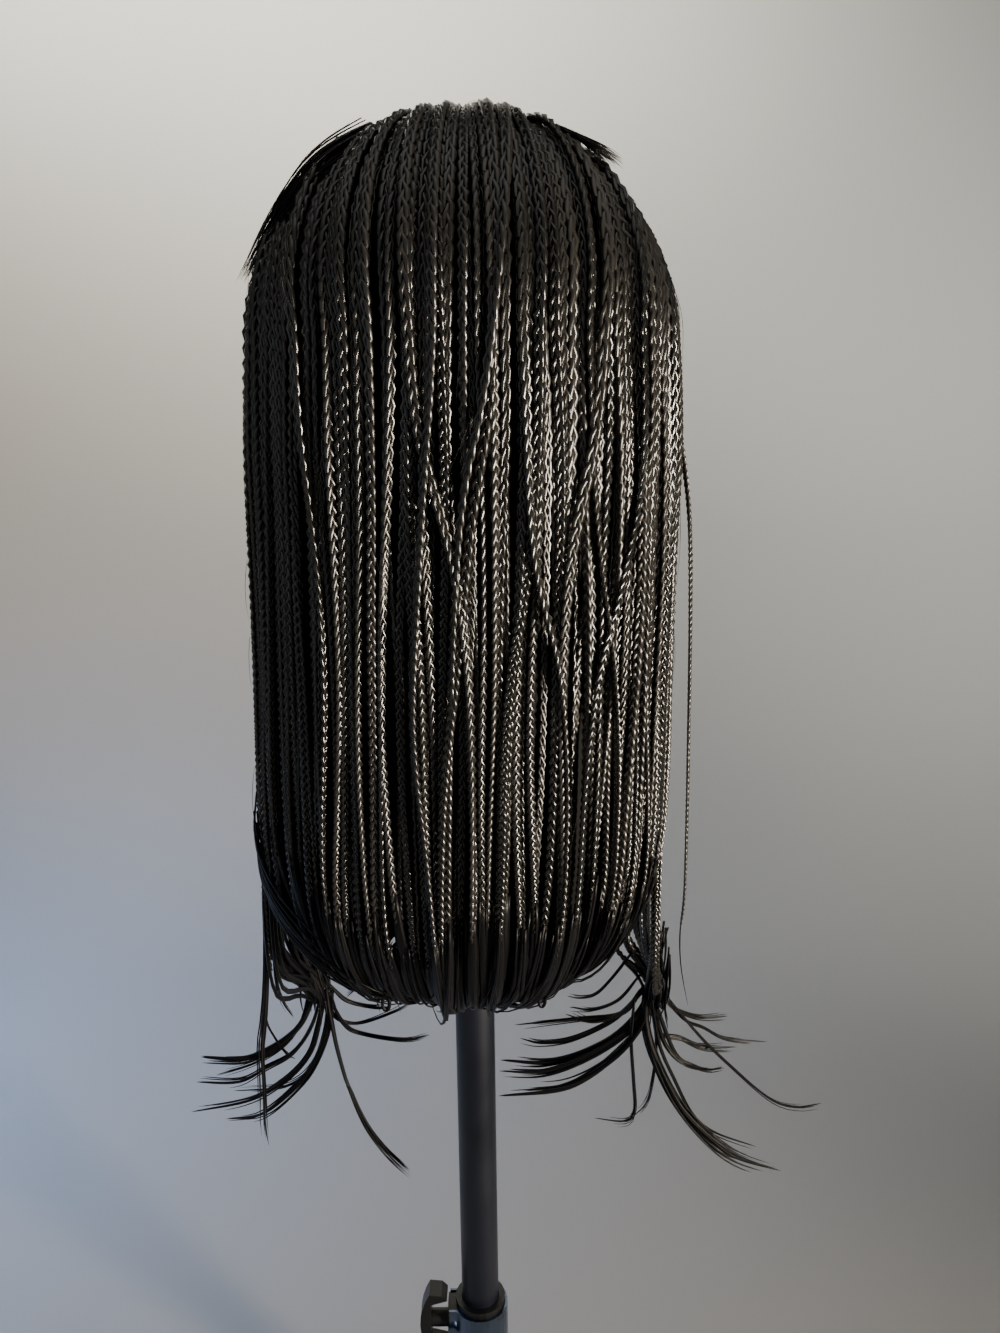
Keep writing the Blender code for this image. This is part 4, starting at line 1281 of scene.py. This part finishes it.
def add_light(name, place, target, size, power, colour, spread):
    """A rectangular light that faces its target."""
    light = bpy.data.lights.new(name, "AREA")
    light.spread = math.radians(spread)
    light.shape = "RECTANGLE"
    light.size, light.size_y = size
    light.energy = power
    light.color = colour
    holder = bpy.data.objects.new(name, light)
    bpy.context.scene.collection.objects.link(holder)
    aim = np.array(place, float) - np.array(target, float)
    aim /= np.linalg.norm(aim)
    side = np.cross((0.0, 0.0, 1.0), aim)
    side /= np.linalg.norm(side)
    holder.matrix_world = axes_matrix(side, np.cross(aim, side), aim, place)
    return holder


def axes_matrix(right, up, back, place):
    """The matrix of an object with these three axes at a place."""
    return Matrix([(*row, spot) for row, spot in zip(np.stack([right, up, back], -1).tolist(),
                                                     place)] + [(0, 0, 0, 1)])


class HAIR_OT_stage(bpy.types.Operator):
    """Plain pale floor and backdrop, soft light from the right, and the camera"""
    bl_idname = "braid_wig.stage"
    bl_label = "Build stage"

    def execute(self, context):
        settings = context.scene.stage_looks
        scene = context.scene
        shape = sweep_sheet(BACKDROP, BACKDROP_ROUND, 24)
        backdrop = bpy.data.objects.new("backdrop", mesh_from("backdrop", *shape))
        scene.collection.objects.link(backdrop)
        backdrop.data.materials.append(finish_of("pale painted wall"))
        lights = [add_light("key light", *KEY_LIGHT, settings.key_power,
                            settings.key_colour, KEY_SPREAD)]
        lights += [add_light(name, *row) for name, row in LIGHTS.items()]
        world = bpy.data.worlds.new("studio")
        world.use_nodes = True
        shade = world.node_tree.nodes["Background"]
        shade.inputs["Color"].default_value = linear(WORLD_COLOUR)
        shade.inputs["Strength"].default_value = WORLD_STRENGTH
        scene.world = world
        lens = bpy.data.cameras.new("camera")
        lens.sensor_fit = "AUTO"
        lens.sensor_width = SENSOR
        lens.lens = SENSOR * PICTURE_FOCUS / PICTURE_SIZE[1]
        camera = bpy.data.objects.new("camera", lens)
        scene.collection.objects.link(camera)
        right, up, forward = camera_axes()
        camera.matrix_world = axes_matrix(right, up, -forward, CAMERA_PLACE)
        scene.camera = camera
        return {"FINISHED"}


class HAIR_PT_panel(bpy.types.Panel):
    """Sidebar panel of the braid wig"""
    bl_label = "Braid Wig"
    bl_idname = "HAIR_PT_panel"
    bl_space_type = "VIEW_3D"
    bl_region_type = "UI"
    bl_category = "Braid Wig"

    def draw(self, context):
        layout = self.layout
        for settings in (context.scene.hanging_hair, context.scene.front_hair,
                         context.scene.stage_looks):
            for name in settings.__annotations__:
                layout.prop(settings, name)
        for operator in OPERATORS:
            layout.operator(operator.bl_idname)


SETTINGS = {
    "hanging_hair": HangingHairSettings,
    "front_hair": FrontHairSettings,
    "stage_looks": StageSettings,
}
OPERATORS = (HAIR_OT_hanging, HAIR_OT_front, HAIR_OT_cap, HAIR_OT_stand, HAIR_OT_stage)


def register():
    for settings in SETTINGS.values():
        bpy.utils.register_class(settings)
    for name, settings in SETTINGS.items():
        setattr(bpy.types.Scene, name, PointerProperty(type=settings))
    for shown in (*OPERATORS, HAIR_PT_panel):
        bpy.utils.register_class(shown)


def unregister():
    for shown in (HAIR_PT_panel, *reversed(OPERATORS)):
        bpy.utils.unregister_class(shown)
    for name in reversed(SETTINGS):
        delattr(bpy.types.Scene, name)
    for settings in reversed(SETTINGS.values()):
        bpy.utils.unregister_class(settings)


def main():
    register()
    bpy.ops.braid_wig.hanging()
    bpy.ops.braid_wig.front()
    bpy.ops.braid_wig.cap()
    bpy.ops.braid_wig.stand()
    bpy.ops.braid_wig.stage()


if __name__ == "__main__":
    main()
